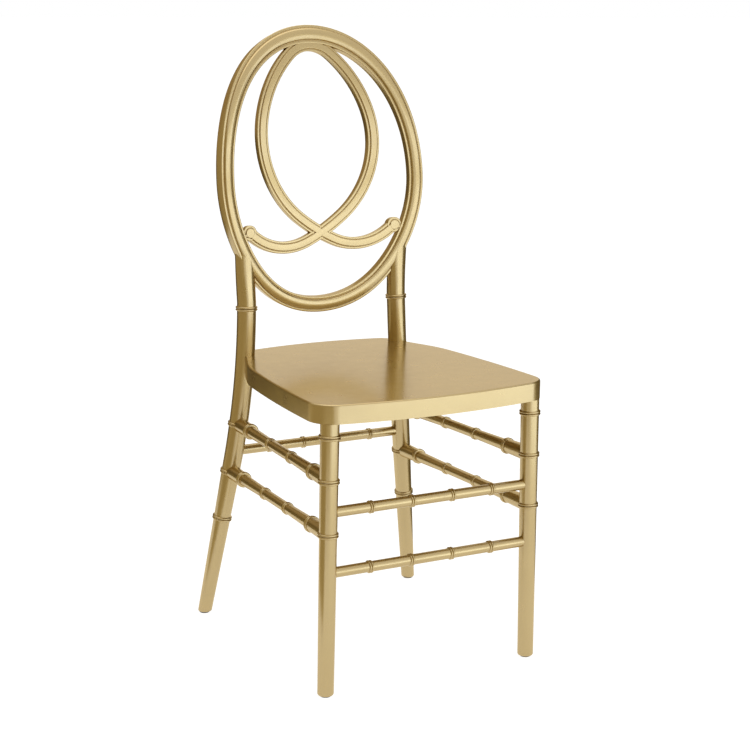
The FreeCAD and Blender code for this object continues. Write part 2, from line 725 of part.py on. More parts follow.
def make_seat(bolt_holes):
    height, wall = size("apron_height"), size("seat_wall")
    top = size("seat_height")
    outer = seat_block("seat_outer", 0, top, height)
    rounded = fillet(
        "seat_rounded", outer, "seat_edge_round",
        lambda e: abs(e.BoundBox.ZMin - top) < 0.01 and e.BoundBox.ZLength < 0.01,
    )
    hollow = seat_block("seat_hollow", wall, top - wall, height - wall)
    shell = cut("seat_plain_shell", rounded, [hollow])
    ribs = []
    pitch = size("rib_pitch")
    reach = 3 * pitch
    for i, step in enumerate((-1.5, -0.5, 0.5, 1.5, 2.5, -2.5)):
        for word in ("across", "along"):
            rib = doc.addObject("Part::Box", f"seat_rib_{word}_{i}")
            long_side, short_side = ("Length", "Width") if word == "across" else ("Width", "Length")
            bind(rib, Height="apron_height - seat_wall - rib_rise")
            bind(rib, **{long_side: "6 * rib_pitch", short_side: "rib_wall"})
            low = top - height + size("rib_rise")
            start = (-reach, step * pitch) if word == "across" else (step * pitch, -reach)
            rib.Placement.Base = Vec(*start, low)
            ribs.append(rib)
    sockets = []
    for word, side in SIDES:
        sockets.append(cylinder(
            f"seat_socket_{word}", "spigot_radius + socket_wall", "apron_height",
            along(front_axis(side, top - height), Z_AXIS),
        ))
        sockets.append(post_cylinder(f"seat_post_boss_{word}", side, "rear_post_radius + boss_wall"))
    limit = seat_block("seat_limit", wall / 2, top - wall / 2, height - wall / 2)
    inner = common("seat_inner", fuse("seat_frame", ribs + sockets), limit)
    blank = fuse("seat_blank", [shell, inner])
    holes = list(bolt_holes)
    for word, side in SIDES:
        holes.append(post_cylinder(f"seat_post_notch_{word}", side, "rear_post_radius + post_gap"))
        foot, head = front_axis(side, 0), front_axis(side, top - height)
        axis = Vec(head - foot).normalize()
        holes.append(cylinder(
            f"seat_socket_bore_{word}", "spigot_radius + glue_gap", "2 * spigot_length",
            along(head - axis * size("spigot_length"), axis),
        ))
    return cut("seat_shell", blank, holes)


# Seat bolts: one through each socket wall into an insert in the leg

def bolt_lines():
    """For each leg, a point on its axis at the bolts' height and the way the bolt points."""
    z = size("bolt_z")
    lines = {}
    for word, side in SIDES:
        for end, point in (("front", front_axis(side, z)), ("rear", REAR[side].at(z)[0])):
            lines[f"{end}_leg_{word}"] = (point, Vec(point.x, point.y, 0).normalize())
    return lines


def make_bolts():
    """Bolts, washers and inserts, with the holes for them in the seat and in each leg."""
    bolts, washers, inserts, seat_holes, leg_holes = [], [], [], [], {}
    clear, pocket = "bolt_radius + bolt_gap", "insert_length + 2 * insert_inset"
    for leg, (point, way) in bolt_lines().items():
        front = leg.startswith("front")
        radius, wall = ("spigot_radius", "socket_wall") if front else ("rear_post_radius", "boss_wall")
        skin = point - way * size(radius)
        seat_face = skin - way * size(wall)
        head = along(seat_face - way * size("washer_height"), way)
        top = along(seat_face - way * (size("washer_height") + size("bolt_head_height")), way)
        room = along(seat_face - way * size("bolt_length"), way)
        mouth = along(skin - way * size("insert_inset"), way)
        sunk = along(skin + way * size("insert_inset"), way)

        rod = cylinder(f"{leg}_shank", "bolt_radius", "bolt_length", head)
        cap = cylinder(f"{leg}_head", "bolt_head_radius", "bolt_head_height", top)
        bolts.append(fuse(f"{leg}_bolt", [rod, cap]))
        disc = cylinder(f"{leg}_disc", "washer_radius", "washer_height", head)
        bore = cylinder(f"{leg}_disc_bore", clear, "washer_height", head)
        washers.append(cut(f"{leg}_washer", disc, [bore]))
        sleeve = cylinder(f"{leg}_sleeve", "insert_radius", "insert_length", sunk)
        thread = cylinder(f"{leg}_thread", "bolt_radius + thread_gap", "insert_length", sunk)
        inserts.append(cut(f"{leg}_insert", sleeve, [thread]))
        leg_holes[leg] = [
            cylinder(f"{leg}_pocket", "insert_radius + thread_gap", pocket, mouth),
            cylinder(f"{leg}_relief", clear, "bolt_length", mouth),
        ]
        seat_holes += [
            cylinder(f"{leg}_clearance", clear, "2 * bolt_length", room),
            cylinder(f"{leg}_seating", "seating_radius", "bolt_length", room),
        ]
    return bolts, washers, inserts, seat_holes, leg_holes


# Dowels between posts, rim and scroll

def dowel_pair(name, kind, start, direction):
    """A dowel and the hole that holds it."""
    rod = cylinder(name, f"{kind}_radius", f"{kind}_length", along(start, direction))
    mouth = along(start - direction * size("end_gap"), direction)
    hole = cylinder(f"{name}_hole", f"{kind}_radius + glue_gap", f"{kind}_length + 2 * end_gap", mouth)
    return rod, hole


def peg_spots():
    """Starts and ways of the scroll's dowels: square to the oval at a curl, upright at the arch."""
    middle = -size("rim_waist_drop")
    low_height = size("rim_half_height") + middle
    curl = Vec(size("curl_x"), 0, -size("curl_drop"))
    slope = Vec(curl.x / size("rim_half_width") ** 2, 0, (curl.z - middle) / low_height ** 2)
    curl_way = slope.normalize()
    arch = Vec(size("arch_peg_x"), 0, size("arch_height") - size("arch_peg_drop"))
    return (("curl", curl + curl_way * size("peg_start"), curl_way), ("arch", arch, Z_AXIS))


def make_dowels():
    dowels, pegs, holes = [], [], {"rim": [], "scroll": []}
    mid_depth = (size("strand_front") + size("strand_step") + size("strand_back")) / 2
    for word, side in SIDES:
        top = post_top_place(side).Base
        start = Vec(top.x, top.y, size("dowel_top_z") - size("dowel_length"))
        dowel, hole = dowel_pair(f"post_dowel_{word}", "dowel", start, Z_AXIS)
        dowels.append(dowel)
        holes[word] = hole
        holes["rim"].append(hole)
        for label, spot, way in peg_spots():
            bow = spot.z ** 2 / (2 * size("bow_upright")) - spot.x ** 2 / (2 * size("bow_across"))
            start = BACK_PLACE.multVec(Vec(side * spot.x, mid_depth + bow, spot.z))
            direction = BACK_PLACE.Rotation.multVec(Vec(side * way.x, 0, way.z))
            peg, hole = dowel_pair(f"scroll_peg_{label}_{word}", "peg", start, direction)
            pegs.append(peg)
            holes["rim"].append(hole)
            holes["scroll"].append(hole)
    return dowels, pegs, holes


# Foot glides

def make_glide(name, point):
    body = new_body(name, FreeCAD.Placement(Vec(point.x, point.y, 0), FreeCAD.Rotation()))
    edge = size("foot_clearance") / 2
    outline = TurnedProfile(body, f"{name}_outline", size("glide_radius") - edge, 0)
    outline.line_to(size("glide_radius"), edge)
    outline.line_to(size("glide_radius"), size("foot_clearance"))
    outline.line_to(size("glide_stem_radius"), size("foot_clearance"))
    outline.line_to(size("glide_stem_radius"), size("glide_stem_length"))
    revolve(body, f"{name}_turning", outline.close())
    hole = cylinder(
        f"{name}_hole", "glide_stem_radius + glue_gap", "glide_stem_length + end_gap", along(point, Z_AXIS)
    )
    return body, hole


def make_legs(blanks, holes, rim_filled):
    """Legs that end level above the floor, with their holes. A rear leg follows the rim at the top."""
    legs = []
    half = 4 * size("rear_post_radius")
    for name, blank in blanks.items():
        floor = doc.addObject("Part::Box", f"{name}_floor")
        bind(floor, Length="8 * rear_post_radius", Width="8 * rear_post_radius", Height="8 * foot_round")
        foot = blank.Placement.Base
        low = size("foot_clearance") - 8 * size("foot_round")
        floor.Placement.Base = Vec(foot.x - half, foot.y - half, low)
        ends = [floor, rim_filled] if name.startswith("rear") else [floor]
        rounded = fillet(
            f"{name}_rounded", cut(f"{name}_level", blank, ends), "foot_round",
            lambda e: e.BoundBox.ZMax < size("foot_clearance") + 0.01,
        )
        legs.append((name, cut(name, rounded, holes[name])))
    return legs


def main():
    rim_blank = make_rim()
    scroll_blank = make_scroll()
    rim_filled = oval_block("rim_filled", 0.5, RIM_WIDTHS[0])

    blanks = {}
    for word, side in SIDES:
        blanks[f"front_leg_{word}"] = front_leg_blank(f"front_leg_{word}", side)
        blanks[f"rear_leg_{word}"] = rear_leg_blank(f"rear_leg_{word}", side)
    rungs, holes = make_rungs(blanks)
    bolts, washers, inserts, seat_holes, leg_holes = make_bolts()
    dowels, pegs, dowel_holes = make_dowels()

    glides = []
    for word, side in SIDES:
        holes[f"rear_leg_{word}"].append(dowel_holes[word])
        for end, foot in (("front", front_axis(side, 0)), ("rear", REAR[side].at(0)[0])):
            glide, hole = make_glide(f"foot_glide_{end}_{word}", foot)
            glides.append((glide.Name, glide))
            holes[f"{end}_leg_{word}"] += [hole] + leg_holes[f"{end}_leg_{word}"]

    pieces = make_legs(blanks, holes, rim_filled) + rungs + glides
    pieces += [
        ("back_rim", cut("back_rim", rim_blank, dowel_holes["rim"])),
        ("back_scroll", cut("back_scroll", scroll_blank, dowel_holes["scroll"])),
        ("seat_shell", make_seat(seat_holes)),
        ("seat_bolts", group("seat_bolts", bolts)),
        ("bolt_washers", group("bolt_washers", washers)),
        ("leg_inserts", group("leg_inserts", inserts)),
        ("post_dowels", group("post_dowels", dowels)),
        ("scroll_dowels", group("scroll_dowels", pegs)),
    ]
    doc.recompute()

    faults = [o.Name for o in doc.Objects if {"Invalid", "Error"} & set(o.State)]
    for label, piece in pieces:
        piece.Label = label
        if piece.Shape.isNull() or not piece.Shape.isValid():
            faults.append(label)
    if faults:
        raise RuntimeError(f"failed objects: {faults}")

    os.makedirs("parts", exist_ok=True)
    for label, piece in pieces:
        piece.Shape.exportStep(f"parts/{label}.step")
        print(label, len(piece.Shape.Solids), "solids", round(piece.Shape.Volume / 1000, 2), "cm3")


main()
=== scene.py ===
"""Finish of a gold painted scroll back chair, built around its fixed frame."""

import math

import bmesh
import bpy
from bpy.props import FloatProperty, FloatVectorProperty, PointerProperty
from mathutils import Matrix, Vector


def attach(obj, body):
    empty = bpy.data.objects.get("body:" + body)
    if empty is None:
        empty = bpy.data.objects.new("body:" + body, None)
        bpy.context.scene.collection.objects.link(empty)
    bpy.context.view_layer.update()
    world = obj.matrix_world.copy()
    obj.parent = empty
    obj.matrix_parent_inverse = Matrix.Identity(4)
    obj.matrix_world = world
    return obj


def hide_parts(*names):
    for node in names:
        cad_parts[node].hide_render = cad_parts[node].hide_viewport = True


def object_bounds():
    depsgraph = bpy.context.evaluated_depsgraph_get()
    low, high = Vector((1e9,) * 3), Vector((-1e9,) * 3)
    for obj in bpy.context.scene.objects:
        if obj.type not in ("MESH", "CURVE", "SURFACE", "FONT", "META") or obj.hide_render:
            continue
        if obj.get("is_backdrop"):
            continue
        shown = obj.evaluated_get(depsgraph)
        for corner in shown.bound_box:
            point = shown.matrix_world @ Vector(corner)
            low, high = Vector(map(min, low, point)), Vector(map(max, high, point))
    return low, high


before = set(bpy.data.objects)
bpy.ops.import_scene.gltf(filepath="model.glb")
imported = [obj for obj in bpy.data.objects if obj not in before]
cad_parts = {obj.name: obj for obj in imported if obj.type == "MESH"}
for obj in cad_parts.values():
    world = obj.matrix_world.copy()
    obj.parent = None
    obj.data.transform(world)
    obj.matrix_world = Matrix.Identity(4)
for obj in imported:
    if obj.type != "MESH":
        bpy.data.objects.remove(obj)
FRAME_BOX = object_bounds()

bl_info = {
    "name": "Scroll Back Chair",
    "version": (1, 0, 0),
    "blender": (4, 5, 0),
    "location": "View3D > Sidebar > Chair",
    "description": "Builds the painted pieces of a scroll back chair around its frame",
    "category": "Object",
}

SIDES = (("left", -1), ("right", 1))
BODY = "root"
TURN = 2 * math.pi
MERGE = 1e-6
LEG_SEGMENTS = 56
RUNG_SEGMENTS = 40
CURL_SEGMENTS = 56
BOLT_SEGMENTS = 24
WASHER_SEGMENTS = 32
GLIDE_SEGMENTS = 40
PLAIN_CREASE = 40
MOULDING_CREASE = 50
SEAT_CREASE = 30
FASTENER_CREASE = 25


# Properties

def length(name, text, default):
    return FloatProperty(name=name, description=text, default=default, unit="LENGTH", precision=4)


def spot(name, text, default):
    return FloatVectorProperty(name=name, description=text, default=default, subtype="XYZ", unit="LENGTH")


def angle(name, text, degrees):
    return FloatProperty(name=name, description=text, default=math.radians(degrees), subtype="ANGLE")


def share(name, text, default):
    return FloatProperty(name=name, description=text, default=default, min=0, max=1, subtype="FACTOR")


def amount(name, text, default):
    return FloatProperty(name=name, description=text, default=default)


def colour(name, text, default):
    return FloatVectorProperty(name=name, description=text, default=default, subtype="COLOR", min=0, max=1)


class LegSizes(bpy.types.PropertyGroup):
    """Right-hand legs: the left ones mirror them."""
    front_foot: spot("Front foot", "Axis of the front leg at the floor", (0.178, -0.2056, 0))
    front_top: spot("Front top", "Axis of the front leg under the seat", (0.1727, -0.2062, 0.421))
    front_foot_radius: length("Front foot radius", "Front leg at the floor", 0.0125)
    front_top_radius: length("Front top radius", "Front leg under the seat", 0.0143)
    spigot_radius: length("Spigot radius", "Peg on top of a front leg", 0.011)
    spigot_length: length("Spigot length", "Peg on top of a front leg", 0.022)
    rear_foot: spot("Rear foot", "Axis of the rear leg at the floor", (0.198, 0.2098, 0))
    rear_bend: spot("Rear bend", "Where the straight lower leg ends", (0.1599, 0.1732, 0.27))
    rear_ring: spot("Rear ring", "Upper ring of the post", (0.1386, 0.1603, 0.5264))
    rear_foot_radius: length("Rear foot radius", "Rear leg at the floor", 0.0114)
    post_radius: length("Post radius", "Rear post from the bend up", 0.0156)
    post_round_z: length("Post shoulder", "Where the post starts to flatten", 0.536)
    post_flat_z: length("Post flat", "Where the post is flat", 0.612)
    post_top_x: length("Post top", "Middle of the post inside the rim", 0.1424)
    post_top_z: length("Post end", "End of the post before it is cut to the rim", 0.66)
    post_width: length("Post width", "Flat post from side to side", 0.0325)
    post_depth: length("Post depth", "Flat post from front to back", 0.0252)
    foot_clearance: length("Foot clearance", "Leg's end above the floor", 0.002)
    foot_round: length("Foot round", "Rounding at a leg's end", 0.003)
    ring_low_z: length("Low ring", "Lowest ring of the rear leg", 0.1706)
    ring_mid_z: length("Middle ring", "Ring at the lower side rung", 0.2515)
    ring_high_z: length("High ring", "Ring at the upper side rung", 0.333)
    ring_top_z: length("Top ring", "Top ring of the front leg", 0.3996)
    ring_width: length("Ring width", "Height of a double bead", 0.0076)
    ring_proud: length("Ring height", "How far a bead stands out", 0.0023)


class RungSizes(bpy.types.PropertyGroup):
    """Rungs between the legs."""
    radius: length("Radius", "Plain part of a rung", 0.0081)
    knot_width: length("Knot width", "Length of a double bead", 0.0072)
    knot_proud: length("Knot height", "How far a bead stands out", 0.0018)
    flare_radius: length("Flare radius", "Flared end of a side rung at the leg", 0.0124)
    collar_radius: length("Collar radius", "Flared end of a side rung at its knot", 0.0112)
    neck_radius: length("Neck radius", "Side rung on the inner side of its end knot", 0.0094)
    front_high_z: length("Front high", "Upper front rung", 0.2849)
    front_low_z: length("Front low", "Lower front rung", 0.192)
    rear_z: length("Rear", "Rear rung", 0.287)
    depth_in_leg: length("Depth in leg", "Rung's end to the leg's axis", 0.004)


class BackSizes(bpy.types.PropertyGroup):
    """Oval rim and crossed scroll on one bowed surface."""
    centre: spot("Centre", "Front of the rim's band at its middle", (0, 0.1677, 0.7443))
    lean: angle("Lean", "Lean of the back", 6.45)
    bow_across: length("Bow across", "Radius of the hollow from side to side", 0.9416)
    bow_upright: length("Bow upright", "Radius of the bow from bottom to top", 1.278)
    half_width: length("Half width", "Oval through the middle of the band", 0.1706)
    half_height: length("Half height", "Oval through the middle of the band", 0.222)
    waist_drop: length("Waist drop", "Widest level below the middle", 0.012)
    pinch: share("Pinch", "How much the oval narrows below its waist", 0.03)
    side_width: length("Side width", "Width of the rim at its sides", 0.024)
    crown_width: length("Crown width", "Width of the rim at the top", 0.030)
    foot_width: length("Foot width", "Width of the rim at the bottom", 0.025)
    depth: length("Depth", "Front of the band to the back of the rim", 0.025)
    band_width: length("Band width", "Raised band of the rim", 0.0150)
    band_step: length("Band step", "Band above the rim's lips", 0.0038)
    band_round: length("Band round", "Rounding of the band's edges", 0.0034)
    band_crown: length("Band crown", "Swell of the band across its width", 0.0006)
    lip_round: length("Lip round", "Rounding of a lip's outer edge", 0.0011)
    groove: length("Groove", "Radius of the groove beside the band", 0.0006)
    groove_edge: length("Groove edge", "Rounding of a lip's edge at the groove", 0.0003)
    back_round: length("Back round", "Rounding of the back edges", 0.0075)
    strand_width: length("Strand width", "Width of a scroll strand", 0.020)
    strand_band: length("Strand band", "Raised band of a strand", 0.0108)
    strand_front: length("Strand front", "Strand's band behind the rim's band", 0.0042)
    strand_step: length("Strand step", "Band above the strand's lips", 0.0019)
    strand_back: length("Strand back", "Back of the strand behind the rim's band", 0.0204)
    strand_round: length("Strand round", "Rounding of a strand's back edges", 0.0045)
    strand_band_round: length("Strand band round", "Rounding of a strand's band", 0.0009)
    strand_crown: length("Strand crown", "Swell of a strand's band", 0.0001)
    strand_lift: length("Strand lift", "How far one strand lies over the other", 0.00015)
    foot_reach: length("Foot reach", "Foot of a scroll arm between its curl and the rim", 0.015)
    foot_drop: length("Foot drop", "Foot of a scroll arm below its curl's middle", 0.0036)
    foot_height: length("Foot height", "Foot of a scroll arm", 0.0136)
    arch_height: length("Arch height", "Top of the scroll above the oval's middle", 0.2038)
    curl_x: length("Curl", "Round end of a scroll arm from the middle", 0.1325)
    curl_drop: length("Curl drop", "Round end of a scroll arm below the middle", 0.0962)
    curl_radius: length("Curl radius", "Round end of a scroll arm", 0.0126)


class SeatSizes(bpy.types.PropertyGroup):
    """Moulded seat with its bolts, and the glides under the feet."""
    bolt_z: length("Bolt height", "Height of the seat bolts", 0.434)
    bolt_radius: length("Bolt radius", "Bolt's shank", 0.003)
    bolt_length: length("Bolt length", "Bolt's shank", 0.020)
    head_radius: length("Head radius", "Bolt's head", 0.005)
    head_height: length("Head height", "Bolt's head", 0.005)
    socket_radius: length("Socket radius", "Hexagon socket, corner to axis", 0.0028)
    socket_depth: length("Socket depth", "Hexagon socket", 0.0028)
    washer_radius: length("Washer radius", "Washer under the head", 0.007)
    washer_height: length("Washer height", "Washer under the head", 0.0014)
    front_wall: length("Front wall", "Seat's socket round a front leg", 0.004)
    rear_wall: length("Rear wall", "Seat's boss round a rear post", 0.005)
    hip: spot("Hip", "Widest place of the seat's side ahead of the post", (0.177, 0.074, 0.45))
    rear_corner: spot("Rear corner", "End of the seat's side behind the post", (0.133, 0.187, 0.45))
    notch_gap: length("Notch gap", "Clearance of the seat round the post", 0.0005)
    notch_bite: length("Notch bite", "Hollow where the seat's side ends at the post", 0.005)
    notch_reach: length("Notch reach", "Half height of that hollow's cutter", 0.035)
    glide_radius: length("Glide radius", "Glide under a foot", 0.0085)
    glide_stem: length("Glide stem", "Radius of the glide's stem", 0.0035)
    glide_reach: length("Glide reach", "Top of the glide's stem", 0.014)


class PaintLook(bpy.types.PropertyGroup):
    """Satin metallic paint."""
    base: colour("Base", "Paint in plain light", (0.465, 0.333, 0.118))
    deep: colour("Deep", "Paint where the spray is thicker", (0.44, 0.308, 0.103))
    flake: colour("Flake", "Bright metal flakes", (0.55, 0.42, 0.19))
    edge: colour("Edge", "Paint seen at a flat angle", (0.82, 0.66, 0.31))
    metallic: share("Metallic", "Share of metal in the paint", 0.95)
    roughness: share("Roughness", "Satin of the paint", 0.3)
    coat: share("Coat", "Clear lacquer over the paint", 0.75)
    coat_roughness: share("Coat roughness", "Satin of the lacquer", 0.18)
    coat_ior: amount("Coat refraction", "Refraction of the lacquer", 2.0)
    satin_swing: share("Satin swing", "How far the satin varies", 0.03)
    satin_scale: amount("Satin scale", "Changes of the satin per metre", 38)
    cloud_scale: amount("Cloud scale", "Changes of the spray per metre", 7)
    flake_scale: amount("Flake scale", "Flakes per metre", 3200)
    flake_share: share("Flake share", "How much of a flake shows", 0.2)
    peel_scale: amount("Peel scale", "Waves of the lacquer per metre", 420)
    peel: share("Peel", "Strength of the lacquer's waves", 0.02)
    peel_depth: length("Peel depth", "Depth of the lacquer's waves", 0.0002)


class StageLook(bpy.types.PropertyGroup):
    """Floor, lamps and camera."""
    floor: colour("Floor", "Pale floor", (0.9, 0.9, 0.9))
    floor_paper: colour("Floor paper", "Paper of the floor, which takes the shadow", (0.45, 0.45, 0.45))
    floor_fill: amount("Floor fill", "Light from the floor on plain surfaces", 0.3)
    floor_size: length("Floor size", "Half width of the floor", 60)
    camera_spot: spot("Camera", "Place of the camera", (-1.2756, -2.3716, 1.0293))
    camera_yaw: angle("Yaw", "Turn of the camera about the upright", -28.513)
    camera_pitch: angle("Pitch", "Camera below the horizon", 12.468)
    camera_roll: angle("Roll", "Camera about its own axis", 0.555)
    camera_lens: amount("Lens", "Focal length in millimetres", 83.1)
    camera_sensor: amount("Sensor", "Width of the sensor in millimetres", 36)
    camera_reach: length("Reach", "How far the camera sees", 300)
    key_radius: length("Key radius", "Front softboxes to the chair's middle", 2)
    key_width: length("Key width", "Width of a front softbox", 0.7)
    key_spread: angle("Key spread", "Spread of the front softboxes behind their grids", 50)
    high_power: amount("High power", "Watts of each high softbox", 0.12)
    high_z: length("High level", "Middle of the high softboxes", 1.2)
    high_tall: length("High height", "Height of a high softbox", 0.45)
    high_aim: length("High aim", "Height the high softboxes point at", 0.85)
    low_power: amount("Low power", "Watts of each low softbox", 0.21)
    low_z: length("Low level", "Middle of the low softboxes", 0.42)
    low_tall: length("Low height", "Height of a low softbox", 0.7)
    low_aim: length("Low aim", "Height the low softboxes point at", 0.3)
    top_power: amount("Top", "Watts of the overhead softbox", 16)
    top_spot: spot("Top spot", "Place of the overhead softbox", (0.0, 0.2, 3.0))
    top_aim: spot("Top aim", "Point under the overhead softbox", (0, 0, 0.4))
    top_size: length("Top size", "Width of the overhead softbox", 2.4)
    sky: amount("Sky", "Strength of the plain fill light", 0.4)
    above_floor: length("Above floor", "Cards and sheets above the floor", 0.003)
    card_radius: length("Card radius", "Cards to the chair's middle", 1.5)
    card_height: length("Card height", "Top of the cards", 1.6)
    mat_radius: length("Mat radius", "Inner edge of the mats in front of the cards", 0.5)
    # The bright sheet glows brighter than white and shows only in reflections: a painted highlight on the
    # legs and the seat's front.
    bounce_near: length("Bounce near", "Inner edge of the bright sheet in front", 1.4)
    bounce_far: length("Bounce far", "Outer edge of the bright sheet in front", 2.5)
    bounce: amount("Bounce", "Strength of the bright sheet in front", 2.15)
    bounce_colour: colour("Bounce colour", "Light of the bright sheet in front", (0.83, 0.91, 1))
    # The cards and mats glow with these colours and show only in reflections, as painted reflections and
    # painted shade: warm at the left, painted shade low behind under a warmer top, pale behind at the right
    # and painted shade at the right. The mats on the floor take the left and right colours.
    card_left: colour("Left card", "Warm card at the left", (0.52, 0.43, 0.235))
    rear_split: length("Rear split", "Height at which the rear card turns paler", 0.75)
    card_rear: colour("Rear card", "Dark foot of the card at the left and behind", (0.13, 0.098, 0.048))
    card_rear_top: colour("Rear card's top", "Warm top of that card", (0.42, 0.315, 0.17))
    card_back: colour("Back card", "Pale card behind at the right", (0.93, 0.87, 0.78))
    card_right: colour("Right card", "Warm card at the right", (0.17, 0.135, 0.07))
    key_colour: colour("Key colour", "Light of the front softboxes", (0.72, 0.84, 1))


def legs():
    return bpy.context.scene.chair_legs


def rungs():
    return bpy.context.scene.chair_rungs


def back():
    return bpy.context.scene.chair_back


def seat():
    return bpy.context.scene.chair_seat


# Materials

def principled(name, **sockets):
    """A material whose constants sit on the shader's own sockets."""
    material = bpy.data.materials.new(name)
    material.use_nodes = True
    shader = material.node_tree.nodes["Principled BSDF"]
    for socket, value in sockets.items():
        shader.inputs[socket.replace("_", " ")].default_value = value
    return material, material.node_tree, shader


def noise(tree, scale, detail, stretch=(1, 1, 1)):
    """Noise on the piece's own place, as a factor."""
    coords = tree.nodes.new("ShaderNodeTexCoord")
    mapping = tree.nodes.new("ShaderNodeMapping")
    mapping.inputs["Scale"].default_value = stretch
    texture = tree.nodes.new("ShaderNodeTexNoise")
    texture.inputs["Scale"].default_value = scale
    texture.inputs["Detail"].default_value = detail
    tree.links.new(coords.outputs["Object"], mapping.inputs["Vector"])
    tree.links.new(mapping.outputs["Vector"], texture.inputs["Vector"])
    return texture.outputs["Fac"]


def spread(tree, factor, low, high, out_low=0.0, out_high=1.0):
    node = tree.nodes.new("ShaderNodeMapRange")
    for socket, value in (("From Min", low), ("From Max", high), ("To Min", out_low), ("To Max", out_high)):
        node.inputs[socket].default_value = value
    tree.links.new(factor, node.inputs["Value"])
    return node.outputs["Result"]


def blend(tree, factor, first, second):
    """Mixes two colours, each a plain colour or another node's output."""
    node = tree.nodes.new("ShaderNodeMix")
    node.data_type = "RGBA"
    tree.links.new(factor, node.inputs["Factor"])
    for socket, value in ((node.inputs[6], first), (node.inputs[7], second)):
        if isinstance(value, bpy.types.NodeSocket):
            tree.links.new(value, socket)
        else:
            socket.default_value = (*value, 1)
    return node.outputs[2]


def bump(tree, shader, factor, strength, distance):
    node = tree.nodes.new("ShaderNodeBump")
    node.inputs["Strength"].default_value = strength
    node.inputs["Distance"].default_value = distance
    tree.links.new(factor, node.inputs["Height"])
    tree.links.new(node.outputs["Normal"], shader.inputs["Normal"])


def gold_paint():
    look = bpy.context.scene.chair_paint
    material, tree, shader = principled(
        "gold_paint", Metallic=look.metallic, Coat_Weight=look.coat, Coat_Roughness=look.coat_roughness,
        Coat_IOR=look.coat_ior, Specular_Tint=(*look.edge, 1),
    )
    cloud = spread(tree, noise(tree, look.cloud_scale, 3), 0.35, 0.65)
    flakes = spread(tree, noise(tree, look.flake_scale, 0), 0.56, 0.74, 0, look.flake_share)
    tint = blend(tree, cloud, look.deep, look.base)
    tree.links.new(blend(tree, flakes, tint, look.flake), shader.inputs["Base Color"])
    smoothest, roughest = look.roughness - look.satin_swing, look.roughness + look.satin_swing
    satin = spread(tree, noise(tree, look.satin_scale, 2), 0.3, 0.7, smoothest, roughest)
    tree.links.new(satin, shader.inputs["Roughness"])
    bump(tree, shader, noise(tree, look.peel_scale, 1), look.peel, look.peel_depth)
    return material


def glide_plastic():
    material, tree, shader = principled("glide_plastic", Specular_IOR_Level=0.35)
    grain = noise(tree, 1800, 2)
    dark, pale = (0.018, 0.016, 0.014), (0.05, 0.045, 0.04)
    tree.links.new(blend(tree, grain, dark, pale), shader.inputs["Base Color"])
    tree.links.new(spread(tree, grain, 0.3, 0.7, 0.5, 0.68), shader.inputs["Roughness"])
    bump(tree, shader, grain, 0.2, 0.0001)
    return material


def plated_steel():
    material, tree, shader = principled("plated_steel", Metallic=1.0)
    brushed = noise(tree, 600, 3, (1, 1, 9))
    dark, pale = (0.46, 0.46, 0.45), (0.68, 0.68, 0.66)
    tree.links.new(blend(tree, brushed, dark, pale), shader.inputs["Base Color"])
    tree.links.new(spread(tree, brushed, 0.3, 0.7, 0.24, 0.4), shader.inputs["Roughness"])
    return material


def turned_brass():
    material, tree, shader = principled("turned_brass", Metallic=1.0)
    marks = noise(tree, 900, 2, (1, 1, 6))
    dark, pale = (0.6, 0.42, 0.16), (0.78, 0.6, 0.3)
    tree.links.new(blend(tree, marks, dark, pale), shader.inputs["Base Color"])
    tree.links.new(spread(tree, marks, 0.3, 0.7, 0.22, 0.36), shader.inputs["Roughness"])
    return material


def dowel_wood():
    material, tree, shader = principled("dowel_wood", Specular_IOR_Level=0.3)
    grain = noise(tree, 160, 5, (6, 6, 0.5))
    dark, pale = (0.42, 0.27, 0.14), (0.7, 0.52, 0.33)
    tree.links.new(blend(tree, grain, dark, pale), shader.inputs["Base Color"])
    tree.links.new(spread(tree, grain, 0.3, 0.7, 0.55, 0.75), shader.inputs["Roughness"])
    bump(tree, shader, grain, 0.25, 0.0003)
    return material


FINISHES = {
    "gold_paint": gold_paint,
    "glide_plastic": glide_plastic,
    "steel": plated_steel,
    "brass": turned_brass,
    "dowel_wood": dowel_wood,
}
made_finishes = {}


def finish(slot):
    """The one material of a slot of the record."""
    if slot not in made_finishes:
        made_finishes[slot] = FINISHES[slot]()
    return made_finishes[slot]


# Meshes

def finished_piece(name, bm, slot, nodes, crease=PLAIN_CREASE):
    """Closes a bmesh into a piece that stands for frame nodes: smooth, with creases above an angle."""
    bmesh.ops.recalc_face_normals(bm, faces=bm.faces[:])
    mesh = bpy.data.meshes.new(name)
    bm.to_mesh(mesh)
    bm.free()
    mesh.shade_smooth()
    mesh.set_sharp_from_angle(angle=math.radians(crease))
    mesh.materials.append(finish(slot))
    piece = bpy.data.objects.new(name, mesh)
    bpy.context.scene.collection.objects.link(piece)
    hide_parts(*nodes)
    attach(piece, BODY)
    return piece


def joined(parts):
    """One bmesh from several."""
    whole = bmesh.new()
    for part in parts:
        mesh = bpy.data.meshes.new("part")
        part.to_mesh(mesh)
        part.free()
        whole.from_mesh(mesh)
        bpy.data.meshes.remove(mesh)
    return whole


def arc(centre, radius, start, end, steps):
    """Points of a round corner, by angles in degrees."""
    turns = [math.radians(start + (end - start) * i / steps) for i in range(steps + 1)]
    return [(centre[0] + radius * math.cos(a), centre[1] + radius * math.sin(a)) for a in turns]


def turned(profile, segments, place=Matrix()):
    """Spins a half outline of (radius, height) pairs about the upright, then sets it in its place."""
    bm = bmesh.new()
    verts = [bm.verts.new((radius, 0, height)) for radius, height in profile]
    edges = [bm.edges.new(pair) for pair in zip(verts, verts[1:])]
    bmesh.ops.spin(
        bm, geom=verts + edges, cent=(0, 0, 0), axis=(0, 0, 1), angle=TURN, steps=segments, use_merge=True
    )
    bmesh.ops.remove_doubles(bm, verts=bm.verts[:], dist=MERGE)
    bmesh.ops.transform(bm, matrix=place, verts=bm.verts[:])
    return bm


